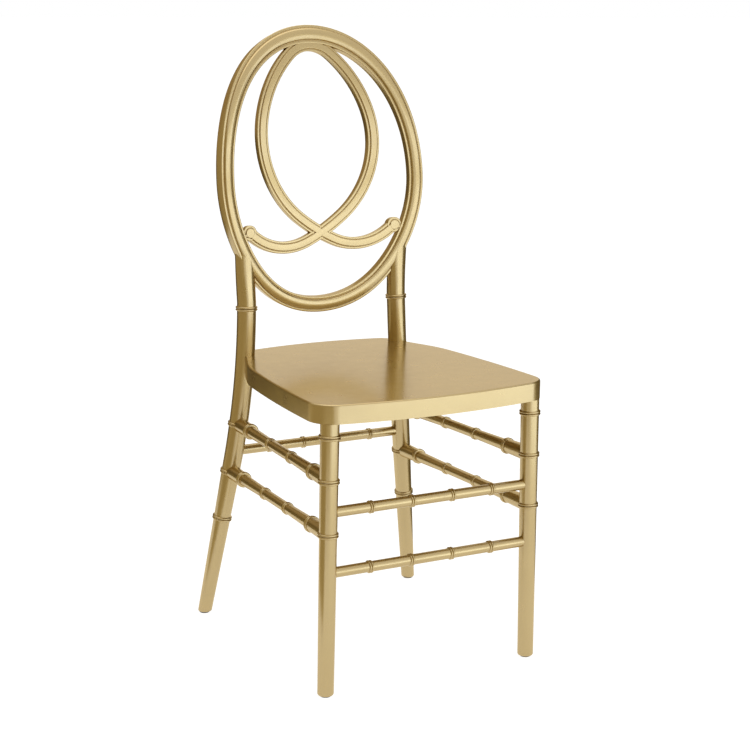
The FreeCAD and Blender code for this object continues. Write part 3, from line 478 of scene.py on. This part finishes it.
def swept(stations, around, shape):
    """Closed section along a line: a grid whose rows are bent round by shape(station, point)."""
    bm = bmesh.new()
    bmesh.ops.create_grid(bm, x_segments=stations, y_segments=around, size=0.5)
    for vert in bm.verts:
        station = round((vert.co.x + 0.5) * stations)
        point = round((vert.co.y + 0.5) * around) % around
        vert.co = shape(station, point)
    bmesh.ops.remove_doubles(bm, verts=bm.verts[:], dist=MERGE)
    return bm


def capped(bm):
    """Closes the open ends of a tube."""
    rims = [edge for edge in bm.edges if edge.is_boundary]
    bmesh.ops.holes_fill(bm, edges=rims, sides=0)
    return bm


def cut_off(bm, point, normal):
    """Takes away what lies ahead of a plane, closes the cut and returns its edges."""
    geometry = bm.verts[:] + bm.edges[:] + bm.faces[:]
    cut = bmesh.ops.bisect_plane(
        bm, geom=geometry, dist=MERGE, plane_co=point, plane_no=normal, clear_outer=True
    )["geom_cut"]
    edges = [part for part in cut if isinstance(part, bmesh.types.BMEdge)]
    bmesh.ops.contextual_create(bm, geom=edges)
    return edges


def level_foot(bm):
    """Ends a leg level above the floor, with a rounded edge."""
    size = legs()
    edges = cut_off(bm, (0, 0, size.foot_clearance), (0, 0, -1))
    bmesh.ops.bevel(
        bm, geom=edges, offset=size.foot_round, segments=5, profile=0.5, affect="EDGES", material=-1,
    )
    return bm


def along(start, end):
    """Place whose upright runs from one point towards another."""
    turn = (end - start).to_track_quat("Z", "Y").to_matrix().to_4x4()
    return Matrix.Translation(start) @ turn


def double_bead(radius, middle, width, proud, steps=8):
    """Two round beads side by side, as (radius, height) pairs."""
    half = width / 2
    pairs = []
    for low in (middle - half, middle):
        first = 0 if low < middle else 1
        for i in range(first, steps + 1):
            turn = math.pi * i / steps
            pairs.append((radius + proud * math.sin(turn), low + half * (1 - math.cos(turn)) / 2))
    return pairs


# Back

def bowed(x, z, depth):
    """Depth of a point of the back in its own frame: hollow from side to side, bowed from bottom to top."""
    size = back()
    across = math.sqrt((size.bow_across + depth) ** 2 - x ** 2) - size.bow_across
    return size.bow_upright - math.sqrt((size.bow_upright - across) ** 2 - z ** 2)


def back_place():
    return Matrix.Translation(back().centre) @ Matrix.Rotation(-back().lean, 4, "X")


def rim_point(turn, across, depth):
    """Point of the rim, by its turn round the oval, its share of the width and its depth."""
    size = back()
    half_width = size.half_width + across * size.side_width
    top = size.half_height + size.waist_drop + across * size.crown_width
    foot = size.half_height - size.waist_drop + across * size.foot_width
    narrowing = size.pinch * math.sin(2 * turn) ** 2 if math.sin(turn) < 0 else 0
    flat_x = half_width * math.cos(turn) * (1 - narrowing)
    flat_z = (top if math.sin(turn) > 0 else foot) * math.sin(turn) - size.waist_drop
    y = 0.0
    for _ in range(5):
        x = flat_x * (1 + (y + half_width ** 2 / (2 * size.bow_across)) / size.bow_across)
        z = flat_z * (1 - (y - top ** 2 / (2 * size.bow_upright)) / size.bow_upright)
        y = bowed(x, z, depth)
    return Vector((x, y, z))


def half_moulding(width, band, top, lip, back_depth, back_round, band_round, crown):
    """Half section of a moulding as (across, depth) pairs, from mid back to mid band."""
    size = back()
    pairs = [(0, back_depth)]
    pairs += arc((width - back_round, back_depth - back_round), back_round, 90, 0, 7)
    pairs += arc((width - size.lip_round, lip + size.lip_round), size.lip_round, 0, -90, 4)
    inner = band + 2 * size.groove + size.groove_edge
    pairs += arc((inner, lip + size.groove_edge), size.groove_edge, -90, -180, 3)
    pairs += arc((band + size.groove, lip + size.groove_edge), size.groove, 0, 180, 5)[1:]
    pairs += arc((band - band_round, top + crown + band_round), band_round, 0, -90, 6)
    flat = band - band_round
    steps = 6
    pairs += [(flat * (1 - i / steps), top + crown * (1 - i / steps) ** 2) for i in range(1, steps + 1)]
    return pairs


def whole_moulding(half):
    return half + [(-across, depth) for across, depth in reversed(half[1:-1])]


def rim_mesh():
    size = back()
    section = whole_moulding(half_moulding(
        size.side_width / 2, size.band_width / 2, 0, size.band_step, size.depth, size.back_round,
        size.band_round, size.band_crown,
    ))
    place = back_place()
    stations = 256

    def shape(station, point):
        across, depth = section[point]
        return place @ rim_point(TURN * (station % stations) / stations, across / size.side_width, depth)

    return swept(stations, len(section), shape)


# A scroll strand as tangent arcs: radius in metres and turn in degrees, from the arch at the top,
# down one side, through the crossing and out along the arm on the other side.
STRAND_ARCS = ((0.054, 41.8), (0.198, 33.8), (0.162, 66.4), (0.311, 13.8), (0.096, 61.6))
STRAND_STEP = 0.004


def strand_line():
    """Points and headings of the whole scroll, from one curl over the arch to the other."""
    point, heading = Vector((0, back().arch_height)), math.pi
    line = [(point.copy(), heading)]
    for radius, degrees in STRAND_ARCS:
        centre = point + Vector((-math.sin(heading), math.cos(heading))) * radius
        bend = math.radians(degrees)
        steps = max(4, round(radius * bend / STRAND_STEP))
        for i in range(1, steps + 1):
            now = heading + bend * i / steps
            line.append((centre + Vector((math.sin(now), -math.cos(now))) * radius, now))
        point, heading = line[-1]
    curl = Vector((back().curl_x, -back().curl_drop))
    steps = 3
    line += [(point.lerp(curl, i / steps), heading) for i in range(1, steps + 1)]
    twin = [(Vector((-p.x, p.y)), -h) for p, h in reversed(line[1:])]
    return twin + line


def strand_half(width, band):
    size = back()
    lip = size.strand_front + size.strand_step
    return half_moulding(
        width, band, size.strand_front, lip, size.strand_back, size.strand_round,
        size.strand_band_round, size.strand_crown,
    )


def strand_mesh(line, half, low, high):
    """Sweeps a strand's section along a line, sunk a little deeper from its start to its end."""
    place = back_place()
    section = whole_moulding(half)
    last = len(line) - 1

    def shape(station, point):
        middle, heading = line[station]
        across, depth = section[point]
        depth += low + (high - low) * station / last
        x = middle.x - math.sin(heading) * across
        z = middle.y + math.cos(heading) * across
        return place @ Vector((x, bowed(x, z, depth), z))

    return capped(swept(last, len(section), shape))


def curl_mesh(side):
    """Round end of a scroll arm, a hair in front of the strand."""
    size = back()
    place = back_place()
    lip_width = (size.strand_width - size.strand_band) / 2
    bm = turned(strand_half(size.curl_radius, size.curl_radius - lip_width), CURL_SEGMENTS)
    for vert in bm.verts:
        x = side * size.curl_x + vert.co.x
        z = vert.co.y - size.curl_drop
        vert.co = place @ Vector((x, bowed(x, z, vert.co.z - size.strand_lift), z))
    return bm


def scroll_mesh():
    size = back()
    lip_width = (size.strand_width - size.strand_band) / 2
    strand = strand_half(size.strand_width / 2, size.strand_band / 2)
    parts = [strand_mesh(strand_line(), strand, 0, size.strand_lift)]
    foot_half = strand_half(size.foot_height / 2, size.foot_height / 2 - lip_width)
    steps = 4
    for _, side in SIDES:
        heading = 0 if side > 0 else math.pi
        inner = Vector((side * size.curl_x, -size.curl_drop - size.foot_drop))
        reach = Vector((side * size.foot_reach, 0))
        foot = [(inner + reach * (i / steps), heading) for i in range(steps + 1)]
        parts.append(strand_mesh(foot, foot_half, 2 * size.strand_lift, 2 * size.strand_lift))
        parts.append(curl_mesh(side))
    return joined(parts)


# Legs

def front_axis(side, z):
    size = legs()
    point = size.front_foot.lerp(size.front_top, z / size.front_top.z)
    return Vector((side * point.x, point.y, z))


def front_leg_mesh(side):
    size = legs()
    foot, top = front_axis(side, 0), front_axis(side, size.front_top.z)
    length_up = (top - foot).length
    start = -2 * size.foot_round

    def radius(height):
        widening = size.front_top_radius - size.front_foot_radius
        return size.front_foot_radius + widening * height / length_up

    profile = [(0, start), (radius(start), start)]
    for height in (size.ring_mid_z, size.ring_high_z, size.ring_top_z):
        profile += double_bead(radius(height), height, size.ring_width, size.ring_proud)
    profile += [(size.front_top_radius, length_up), (size.spigot_radius, length_up)]
    profile += [(size.spigot_radius, length_up + size.spigot_length), (0, length_up + size.spigot_length)]
    return level_foot(turned(profile, LEG_SEGMENTS, along(foot, top)))


class RearLine:
    """Axis of a rear leg: straight from the foot to the bend, then one arc through the upper ring."""

    def __init__(self, side):
        size = legs()
        points = (size.rear_foot, size.rear_bend, size.rear_ring)
        self.foot, bend, ring = [Vector((side * p.x, p.y, p.z)) for p in points]
        self.straight = (bend - self.foot).length
        self.up = (bend - self.foot).normalized()
        rise = (ring - bend).dot(self.up)
        sideways = ring - bend - self.up * rise
        self.out = sideways.normalized()
        self.radius = rise / math.sin(2 * math.atan2(sideways.length, rise))

    def at(self, distance):
        """Point and direction at a distance along the axis from the floor."""
        if distance <= self.straight:
            return self.foot + self.up * distance, self.up
        turn = (distance - self.straight) / self.radius
        sine, cosine = math.sin(turn), math.cos(turn)
        risen = self.up * (self.straight + self.radius * sine)
        bent = self.out * self.radius * (1 - cosine)
        return self.foot + risen + bent, self.up * cosine + self.out * sine

    def reach(self, z):
        """Distance along the axis to a height above the floor."""
        low, high = 0.0, 1.0
        for _ in range(50):
            middle = (low + high) / 2
            low, high = (middle, high) if self.at(middle)[0].z < z else (low, middle)
        return low


def section_place(point, direction, wide, deep):
    """Place of a round section of a post, with its width across the chair."""
    across = (Vector((1, 0, 0)) - direction * direction.x).normalized()
    turn = Matrix((across * wide, direction.cross(across) * deep, direction)).transposed()
    return Matrix.Translation(point) @ turn.to_4x4()


def rim_front(x, z):
    """Depth of the rim's front in the chair's frame at a place across it and a height."""
    size = back()
    local = (z - size.centre.z) / math.cos(size.lean)
    return (back_place() @ Vector((x, bowed(x, local, 0), local))).y


def smooth(value):
    held = min(1.0, max(0.0, value))
    return held * held * (3 - 2 * held)


def rear_stations(side):
    """Sections of a rear leg from below the floor to inside the rim."""
    size, line = legs(), RearLine(side)
    start = -2 * size.foot_round
    slope = (size.post_radius - size.rear_foot_radius) / line.straight

    def radius(distance):
        return size.rear_foot_radius + slope * min(distance, line.straight)

    outline = [(radius(start), start)]
    for z in (size.ring_low_z, size.ring_mid_z, size.ring_high_z, size.rear_ring.z):
        middle = line.reach(z)
        outline += double_bead(radius(middle), middle, size.ring_width, size.ring_proud)
    shoulder = line.reach(size.post_round_z)
    outline.append((size.post_radius, shoulder))
    places = []
    step = 0.006
    for (r_low, low), (r_high, high) in zip(outline, outline[1:]):
        parts = max(1, round((high - low) / step))
        for i in range(parts):
            thick = r_low + (r_high - r_low) * i / parts
            places.append(section_place(*line.at(low + (high - low) * i / parts), thick, thick))

    begin, direction = line.at(shoulder)
    steps = 24
    for i in range(steps + 1):
        z = begin.z + (size.post_top_z - begin.z) * i / steps
        flat = smooth((z - begin.z) / (size.post_flat_z - begin.z))
        x = begin.x + (side * size.post_top_x - begin.x) * i / steps
        rim_middle = rim_front(x, z) + back().depth / 2
        run_on = begin.y + direction.y / direction.z * (z - begin.z)
        point = Vector((x, run_on + (rim_middle - run_on) * flat, z))
        wide = size.post_radius + (size.post_width / 2 - size.post_radius) * flat
        deep = size.post_radius + (size.post_depth / 2 - size.post_radius) * flat
        upward = direction.lerp(Vector((0, 0, 1)), flat).normalized()
        places.append(section_place(point, upward, wide, deep))
    return places


def rear_leg_mesh(side):
    places = rear_stations(side)
    circle = [TURN * i / LEG_SEGMENTS for i in range(LEG_SEGMENTS)]

    def shape(station, point):
        return places[station] @ Vector((math.cos(circle[point]), math.sin(circle[point]), 0))

    bm = capped(swept(len(places) - 1, LEG_SEGMENTS, shape))
    turn = rim_turn(side)
    middle = back_place() @ rim_point(turn, 0, back().depth / 2)
    outside = back_place() @ rim_point(turn, 0.5, back().depth / 2)
    cut_off(bm, middle, middle - outside)
    return level_foot(bm)


def rim_turn(side):
    """Turn round the oval at which a rear post meets it."""
    turn = math.acos(legs().post_top_x / back().half_width)
    return -turn if side > 0 else math.pi + turn


# Rungs

def rung_mesh(start, end, knots, flared):
    """Turned rung between two leg axes, with a double bead at each knot."""
    size = rungs()
    full = (end - start).length
    end_radius = size.flare_radius if flared else size.radius
    low, high = size.depth_in_leg, full - size.depth_in_leg
    profile = [(0, low), (end_radius, low)]
    for i, knot in enumerate(knots):
        first, final = flared and i == 0, flared and i == len(knots) - 1
        radius = size.collar_radius if first or final else size.radius
        half = size.knot_width / 2
        if final:
            profile.append((size.neck_radius, knot * full - half))
        profile += double_bead(radius, knot * full, size.knot_width, size.knot_proud)
        if first:
            profile.append((size.neck_radius, knot * full + half))
    profile += [(end_radius, high), (0, high)]
    return turned(profile, RUNG_SEGMENTS, along(start, end))


STRAIGHT_KNOTS = (0.2, 0.4, 0.6, 0.8)
SIDE_KNOTS = (0.15, 0.385, 0.615, 0.85)


def rung_lines():
    """Name, ends, knots and flare of each rung."""
    size = rungs()
    rear = {side: RearLine(side) for _, side in SIDES}

    def rear_axis(side, z):
        return rear[side].at(rear[side].reach(z))[0]

    for name, axis, z in (
        ("front_rung_upper", front_axis, size.front_high_z),
        ("front_rung_lower", front_axis, size.front_low_z),
        ("rear_rung", rear_axis, size.rear_z),
    ):
        yield name, axis(-1, z), axis(1, z), STRAIGHT_KNOTS, False
    for word, side in SIDES:
        for level, z in (("upper", legs().ring_high_z), ("lower", legs().ring_mid_z)):
            yield f"side_rung_{word}_{level}", rear_axis(side, z), front_axis(side, z), SIDE_KNOTS, True


# Fasteners

def bolt_places():
    """Place of each bolt's bearing face on the seat, with its upright along the bolt."""
    size = seat()
    rear = {side: RearLine(side) for _, side in SIDES}
    for _, side in SIDES:
        front_point = front_axis(side, size.bolt_z)
        rear_point = rear[side].at(rear[side].reach(size.bolt_z))[0]
        front_reach = legs().spigot_radius + size.front_wall
        rear_reach = legs().post_radius + size.rear_wall
        for point, reach in ((front_point, front_reach), (rear_point, rear_reach)):
            way = Vector((point.x, point.y, 0)).normalized()
            yield along(point - way * reach, point)


def bolt_mesh(place):
    """Cap screw with a hexagon socket, its head on the washer's inner face."""
    size = seat()
    chamfer = 0.0005
    mouth_radius = size.socket_radius * 1.1
    under = -size.washer_height
    top = under - size.head_height
    rim = size.head_radius
    profile = [(mouth_radius, top), (rim - chamfer, top)]
    profile += [(rim, top + chamfer), (rim, under), (size.bolt_radius, under)]
    tip = under + size.bolt_length
    profile += [(size.bolt_radius, tip - chamfer), (size.bolt_radius - chamfer, tip), (0, tip)]
    bm = turned(profile, BOLT_SEGMENTS)
    mouth = [edge for edge in bm.edges if edge.is_boundary]
    walls = bmesh.ops.extrude_edge_only(bm, edges=mouth)["geom"]
    inner = [part for part in walls if isinstance(part, bmesh.types.BMVert)]
    for vert in inner:
        turn = math.atan2(vert.co.y, vert.co.x) % (TURN / 6) - TURN / 12
        flat = size.socket_radius * math.cos(TURN / 12) / math.cos(turn)
        vert.co = (vert.co.to_2d().normalized() * flat).to_3d() + Vector((0, 0, top))
    ring = [part for part in walls if isinstance(part, bmesh.types.BMEdge)]
    floor = bmesh.ops.extrude_edge_only(bm, edges=ring)["geom"]
    bottom = [part for part in floor if isinstance(part, bmesh.types.BMVert)]
    bmesh.ops.translate(bm, vec=(0, 0, size.socket_depth), verts=bottom)
    capped(bm)
    bmesh.ops.transform(bm, matrix=place, verts=bm.verts[:])
    return bm


def washer_mesh(place):
    size = seat()
    chamfer = 0.0002
    hole, rim, height = size.bolt_radius + chamfer, size.washer_radius, size.washer_height
    profile = [(hole, -height), (rim - chamfer, -height), (rim, -height + chamfer)]
    profile += [(rim, -chamfer), (rim - chamfer, 0), (hole, 0), (hole, -height)]
    return turned(profile, WASHER_SEGMENTS, place)


def glide_mesh(foot):
    """Moulded glide: a domed edge under the foot and a stem in the leg."""
    size, clear = seat(), legs().foot_clearance
    edge = clear / 2
    profile = [(0, 0)] + arc((size.glide_radius - edge, edge), edge, -90, 0, 5)
    profile += [(size.glide_radius, clear), (size.glide_stem, clear)]
    profile += [(size.glide_stem, size.glide_reach), (0, size.glide_reach)]
    return turned(profile, GLIDE_SEGMENTS, Matrix.Translation(foot))


# Seat

def carved(bm, cutters):
    """Takes cutters out of a closed mesh."""
    scene = bpy.context.scene
    body = bpy.data.objects.new("body", bpy.data.meshes.new("body"))
    tool = bpy.data.objects.new("tool", bpy.data.meshes.new("tool"))
    for part, source in ((body, bm), (tool, joined(cutters))):
        source.to_mesh(part.data)
        source.free()
        scene.collection.objects.link(part)
    cut = body.modifiers.new("cut", "BOOLEAN")
    cut.operation = "DIFFERENCE"
    cut.solver = "EXACT"
    cut.object = tool
    mesh = bpy.data.meshes.new_from_object(body.evaluated_get(bpy.context.evaluated_depsgraph_get()))
    result = bmesh.new()
    result.from_mesh(mesh)
    for part in (body, tool):
        bpy.data.meshes.remove(part.data)
    bpy.data.meshes.remove(mesh)
    return result


def notch_bite(side):
    """Upright cutter where the seat's side meets the post."""
    size = seat()
    line = RearLine(side)
    axis = line.at(line.reach(size.bolt_z))[0]
    ahead = size.hip - size.rear_corner
    ahead = Vector((side * ahead.x, ahead.y, 0)).normalized()
    tip = axis + ahead * (legs().post_radius + size.notch_gap)
    bite, reach = size.notch_bite, size.notch_reach
    outline = [(0, -reach), (bite, -reach), (bite, reach), (0, reach)]
    return turned(outline, RUNG_SEGMENTS, Matrix.Translation(tip))


def seat_mesh():
    """The moulded seat, as the frame has it, with its facets joined into clean faces."""
    bm = bmesh.new()
    bm.from_mesh(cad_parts["seat_shell"].data)
    bmesh.ops.remove_doubles(bm, verts=bm.verts[:], dist=MERGE)
    bm = carved(bm, [notch_bite(side) for _, side in SIDES])
    flat = math.radians(0.5)
    bmesh.ops.dissolve_limit(
        bm, angle_limit=flat, use_dissolve_boundaries=False, verts=bm.verts[:], edges=bm.edges[:]
    )
    return bm


# Operators

class CHAIR_OT_back_rim(bpy.types.Operator):
    """Builds the oval rim of the back"""
    bl_idname = "chair.back_rim"
    bl_label = "Back Rim"

    def execute(self, context):
        finished_piece("back_rim_moulding", rim_mesh(), "gold_paint", ["back_rim"], MOULDING_CREASE)
        return {"FINISHED"}


class CHAIR_OT_back_scroll(bpy.types.Operator):
    """Builds the crossed scroll inside the rim"""
    bl_idname = "chair.back_scroll"
    bl_label = "Back Scroll"

    def execute(self, context):
        mesh = scroll_mesh()
        finished_piece("back_scroll_moulding", mesh, "gold_paint", ["back_scroll"], MOULDING_CREASE)
        return {"FINISHED"}


class CHAIR_OT_legs(bpy.types.Operator):
    """Builds the turned front legs and the bent rear legs"""
    bl_idname = "chair.legs"
    bl_label = "Legs"

    def execute(self, context):
        for word, side in SIDES:
            for end, mesh in (("front", front_leg_mesh), ("rear", rear_leg_mesh)):
                node = f"{end}_leg_{word}"
                finished_piece(f"{node}_turning", mesh(side), "gold_paint", [node], MOULDING_CREASE)
        return {"FINISHED"}


class CHAIR_OT_rungs(bpy.types.Operator):
    """Builds the knotted rungs between the legs"""
    bl_idname = "chair.rungs"
    bl_label = "Rungs"

    def execute(self, context):
        for node, start, end, knots, flared in rung_lines():
            mesh = rung_mesh(start, end, knots, flared)
            finished_piece(f"{node}_turning", mesh, "gold_paint", [node], MOULDING_CREASE)
        return {"FINISHED"}


class CHAIR_OT_seat(bpy.types.Operator):
    """Builds the moulded seat"""
    bl_idname = "chair.seat"
    bl_label = "Seat"

    def execute(self, context):
        piece = finished_piece("seat_moulding", seat_mesh(), "gold_paint", ["seat_shell"], SEAT_CREASE)
        normals = piece.modifiers.new("even_shading", "WEIGHTED_NORMAL")
        normals.keep_sharp = True
        return {"FINISHED"}


class CHAIR_OT_glides(bpy.types.Operator):
    """Builds the glides under the feet"""
    bl_idname = "chair.glides"
    bl_label = "Glides"

    def execute(self, context):
        for word, side in SIDES:
            for end, foot in (("front", front_axis(side, 0)), ("rear", RearLine(side).foot)):
                node = f"foot_glide_{end}_{word}"
                finished_piece(f"{node}_moulding", glide_mesh(foot), "glide_plastic", [node])
        return {"FINISHED"}


class CHAIR_OT_fasteners(bpy.types.Operator):
    """Builds the seat bolts and their washers, and finishes the hidden inserts and dowels"""
    bl_idname = "chair.fasteners"
    bl_label = "Fasteners"

    def execute(self, context):
        places = list(bolt_places())
        for node, mesh in (("seat_bolts", bolt_mesh), ("bolt_washers", washer_mesh)):
            parts = joined(mesh(place) for place in places)
            finished_piece(f"{node}_turning", parts, "steel", [node], FASTENER_CREASE)
        hidden = (("leg_inserts", "brass"), ("post_dowels", "dowel_wood"), ("scroll_dowels", "dowel_wood"))
        for node, slot in hidden:
            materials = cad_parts[node].data.materials
            materials.clear()
            materials.append(finish(slot))
        return {"FINISHED"}


# Stage

def seen_white(tree, shader, lit):
    """White to the eye and in reflections, and a plain fill light to everything else."""
    path = tree.nodes.new("ShaderNodeLightPath")
    total = None
    for ray in ("Is Camera Ray", "Is Glossy Ray", "Is Transmission Ray"):
        if total is None:
            total = path.outputs[ray]
            continue
        both = tree.nodes.new("ShaderNodeMath")
        both.operation = "MAXIMUM"
        tree.links.new(total, both.inputs[0])
        tree.links.new(path.outputs[ray], both.inputs[1])
        total = both.outputs["Value"]
    strength = spread(tree, total, 0, 1, lit, 1)
    tree.links.new(strength, shader.inputs["Strength"])


def make_world(look):
    world = bpy.data.worlds.new("studio")
    bpy.context.scene.world = world
    world.use_nodes = True
    tree = world.node_tree
    shader = tree.nodes["Background"]
    shader.inputs["Color"].default_value = (1, 1, 1, 1)
    seen_white(tree, shader, look.sky)


def make_floor(look):
    material = bpy.data.materials.new("floor")
    material.use_nodes = True
    tree = material.node_tree
    tree.nodes.remove(tree.nodes["Principled BSDF"])
    paper = tree.nodes.new("ShaderNodeBsdfDiffuse")
    paper.inputs["Color"].default_value = (*look.floor_paper, 1)
    glow = tree.nodes.new("ShaderNodeEmission")
    glow.inputs["Color"].default_value = (*look.floor, 1)
    seen_white(tree, glow, look.floor_fill)
    both = tree.nodes.new("ShaderNodeAddShader")
    tree.links.new(paper.outputs["BSDF"], both.inputs[0])
    tree.links.new(glow.outputs["Emission"], both.inputs[1])
    tree.links.new(both.outputs["Shader"], tree.nodes["Material Output"].inputs["Surface"])
    bm = bmesh.new()
    bmesh.ops.create_grid(bm, x_segments=2, y_segments=2, size=look.floor_size)
    stage_piece("floor", bm, material)


def stage_piece(name, bm, material):
    mesh = bpy.data.meshes.new(name)
    bm.to_mesh(mesh)
    bm.free()
    mesh.materials.append(material)
    piece = bpy.data.objects.new(name, mesh)
    bpy.context.scene.collection.objects.link(piece)
    piece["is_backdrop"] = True
    return piece


# Glowing cards, mats and the bright sheet, which show only in reflections as painted reflections, painted
# shade and a painted highlight, by the degrees round the upright at which each starts and ends.
CARD_LEFT = (129, 246)
CARD_REAR = (80, 129)
CARD_BACK = (40, 80)
CARD_RIGHT = (-26, 40)
MAT_LEFT = (150, 212)
MAT_RIGHT = (-10, 40)
BOUNCE_FRONT = (-98, -28)
KEY_TURNS = (("left", -81), ("middle", -61), ("right", -41))
CARD_STEPS = 16


def make_card(name, span, tint, corners, strength=1):
    """Glowing card round a part of the stage, from (radius, height) corners, that shows only in
    reflections: a painted reflection or painted shade in its colour.
    """
    start, end = (math.radians(degrees) for degrees in span)
    material = bpy.data.materials.new(name)
    material.use_nodes = True
    tree = material.node_tree
    tree.nodes.remove(tree.nodes["Principled BSDF"])
    glow = tree.nodes.new("ShaderNodeEmission")
    glow.inputs["Color"].default_value = (*tint, 1)
    glow.inputs["Strength"].default_value = strength
    tree.links.new(glow.outputs["Emission"], tree.nodes["Material Output"].inputs["Surface"])
    bm = bmesh.new()
    verts = [bm.verts.new((radius, 0, z)) for radius, z in corners]
    edges = [bm.edges.new(pair) for pair in zip(verts, verts[1:])]
    bmesh.ops.rotate(bm, verts=verts, cent=(0, 0, 0), matrix=Matrix.Rotation(start, 3, "Z"))
    bmesh.ops.spin(
        bm, geom=verts + edges, cent=(0, 0, 0), axis=(0, 0, 1), angle=end - start, steps=CARD_STEPS,
    )
    card = stage_piece(name, bm, material)
    card.visible_camera = False
    card.visible_diffuse = False
    card.visible_transmission = False
    card.visible_shadow = False


def make_lamp(name, point, aim, width, height, power, tint=(1, 1, 1)):
    lamp = bpy.data.lights.new(name, "AREA")
    lamp.shape = "RECTANGLE"
    lamp.size = width
    lamp.size_y = height
    lamp.energy = power
    lamp.color = tint
    holder = bpy.data.objects.new(name, lamp)
    holder.location = point
    holder.rotation_euler = (Vector(aim) - Vector(point)).to_track_quat("-Z", "Y").to_euler()
    holder.visible_camera = False
    bpy.context.scene.collection.objects.link(holder)
    return lamp


def make_camera(look):
    lens = bpy.data.cameras.new("camera")
    lens.lens = look.camera_lens
    lens.sensor_width = look.camera_sensor
    lens.clip_end = look.camera_reach
    holder = bpy.data.objects.new("camera", lens)
    yaw = Matrix.Rotation(look.camera_yaw, 4, "Z")
    pitch = Matrix.Rotation(math.pi / 2 - look.camera_pitch, 4, "X")
    roll = Matrix.Rotation(look.camera_roll, 4, "Z")
    holder.matrix_world = Matrix.Translation(look.camera_spot) @ (yaw @ pitch) @ roll
    bpy.context.scene.collection.objects.link(holder)
    bpy.context.scene.camera = holder


class CHAIR_OT_stage(bpy.types.Operator):
    """Sets the floor, the glowing cards that show only in reflections as painted reflections and painted
    shade, the lamps and the camera
    """
    bl_idname = "chair.stage"
    bl_label = "Stage"

    def execute(self, context):
        look = context.scene.chair_stage
        make_world(look)
        make_floor(look)
        low = look.above_floor
        upright = ((look.card_radius, low), (look.card_radius, look.card_height))
        flat = ((look.mat_radius, low), (look.card_radius, low))
        # Glowing cards and mats, seen only in reflections: painted reflections and painted shade on the
        # chair.
        make_card("card_left", CARD_LEFT, look.card_left, upright)
        split = (look.card_radius, look.rear_split)
        make_card("card_rear", CARD_REAR, look.card_rear, (upright[0], split))
        make_card("card_rear_top", CARD_REAR, look.card_rear_top, (split, upright[1]))
        make_card("card_back", CARD_BACK, look.card_back, upright)
        make_card("card_right", CARD_RIGHT, look.card_right, upright)
        make_card("mat_left", MAT_LEFT, look.card_left, flat)
        make_card("mat_right", MAT_RIGHT, look.card_right, flat)
        # Glowing sheet on the floor in front, seen only in reflections: a painted highlight.
        sheet = ((look.bounce_near, low), (look.bounce_far, low))
        make_card("bounce_front", BOUNCE_FRONT, look.bounce_colour, sheet, look.bounce)
        rows = (
            ("high", look.high_z, look.high_aim, look.high_tall, look.high_power),
            ("low", look.low_z, look.low_aim, look.low_tall, look.low_power),
        )
        for row, z, aim_z, tall, power in rows:
            for word, degrees in KEY_TURNS:
                turn = math.radians(degrees)
                point = (look.key_radius * math.cos(turn), look.key_radius * math.sin(turn), z)
                aim = (0, 0, aim_z)
                key = make_lamp(f"{row}_{word}", point, aim, look.key_width, tall, power, look.key_colour)
                key.spread = look.key_spread
        make_lamp("top", look.top_spot, look.top_aim, look.top_size, look.top_size, look.top_power)
        make_camera(look)
        context.scene.view_settings.view_transform = "Standard"
        return {"FINISHED"}


class CHAIR_PT_panel(bpy.types.Panel):
    """Lists the chair's operators"""
    bl_idname = "CHAIR_PT_panel"
    bl_label = "Scroll Back Chair"
    bl_space_type = "VIEW_3D"
    bl_region_type = "UI"
    bl_category = "Chair"

    def draw(self, context):
        for operator in OPERATORS:
            self.layout.operator(operator.bl_idname)


GROUPS = {
    "chair_legs": LegSizes,
    "chair_rungs": RungSizes,
    "chair_back": BackSizes,
    "chair_seat": SeatSizes,
    "chair_paint": PaintLook,
    "chair_stage": StageLook,
}
OPERATORS = (
    CHAIR_OT_stage, CHAIR_OT_back_rim, CHAIR_OT_back_scroll, CHAIR_OT_legs, CHAIR_OT_rungs, CHAIR_OT_seat,
    CHAIR_OT_glides, CHAIR_OT_fasteners,
)
CLASSES = (*GROUPS.values(), *OPERATORS, CHAIR_PT_panel)


def register():
    for cls in CLASSES:
        bpy.utils.register_class(cls)
    for name, group in GROUPS.items():
        setattr(bpy.types.Scene, name, PointerProperty(type=group))


def unregister():
    for name in GROUPS:
        delattr(bpy.types.Scene, name)
    for cls in reversed(CLASSES):
        bpy.utils.unregister_class(cls)


def main():
    register()
    bpy.ops.chair.stage()
    bpy.ops.chair.back_rim()
    bpy.ops.chair.back_scroll()
    bpy.ops.chair.legs()
    bpy.ops.chair.rungs()
    bpy.ops.chair.seat()
    bpy.ops.chair.glides()
    bpy.ops.chair.fasteners()
    boxes = {"frame": FRAME_BOX, "visual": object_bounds()}
    {name: [list(corner) for corner in box] for name, box in boxes.items()}


if __name__ == "__main__":
    main()
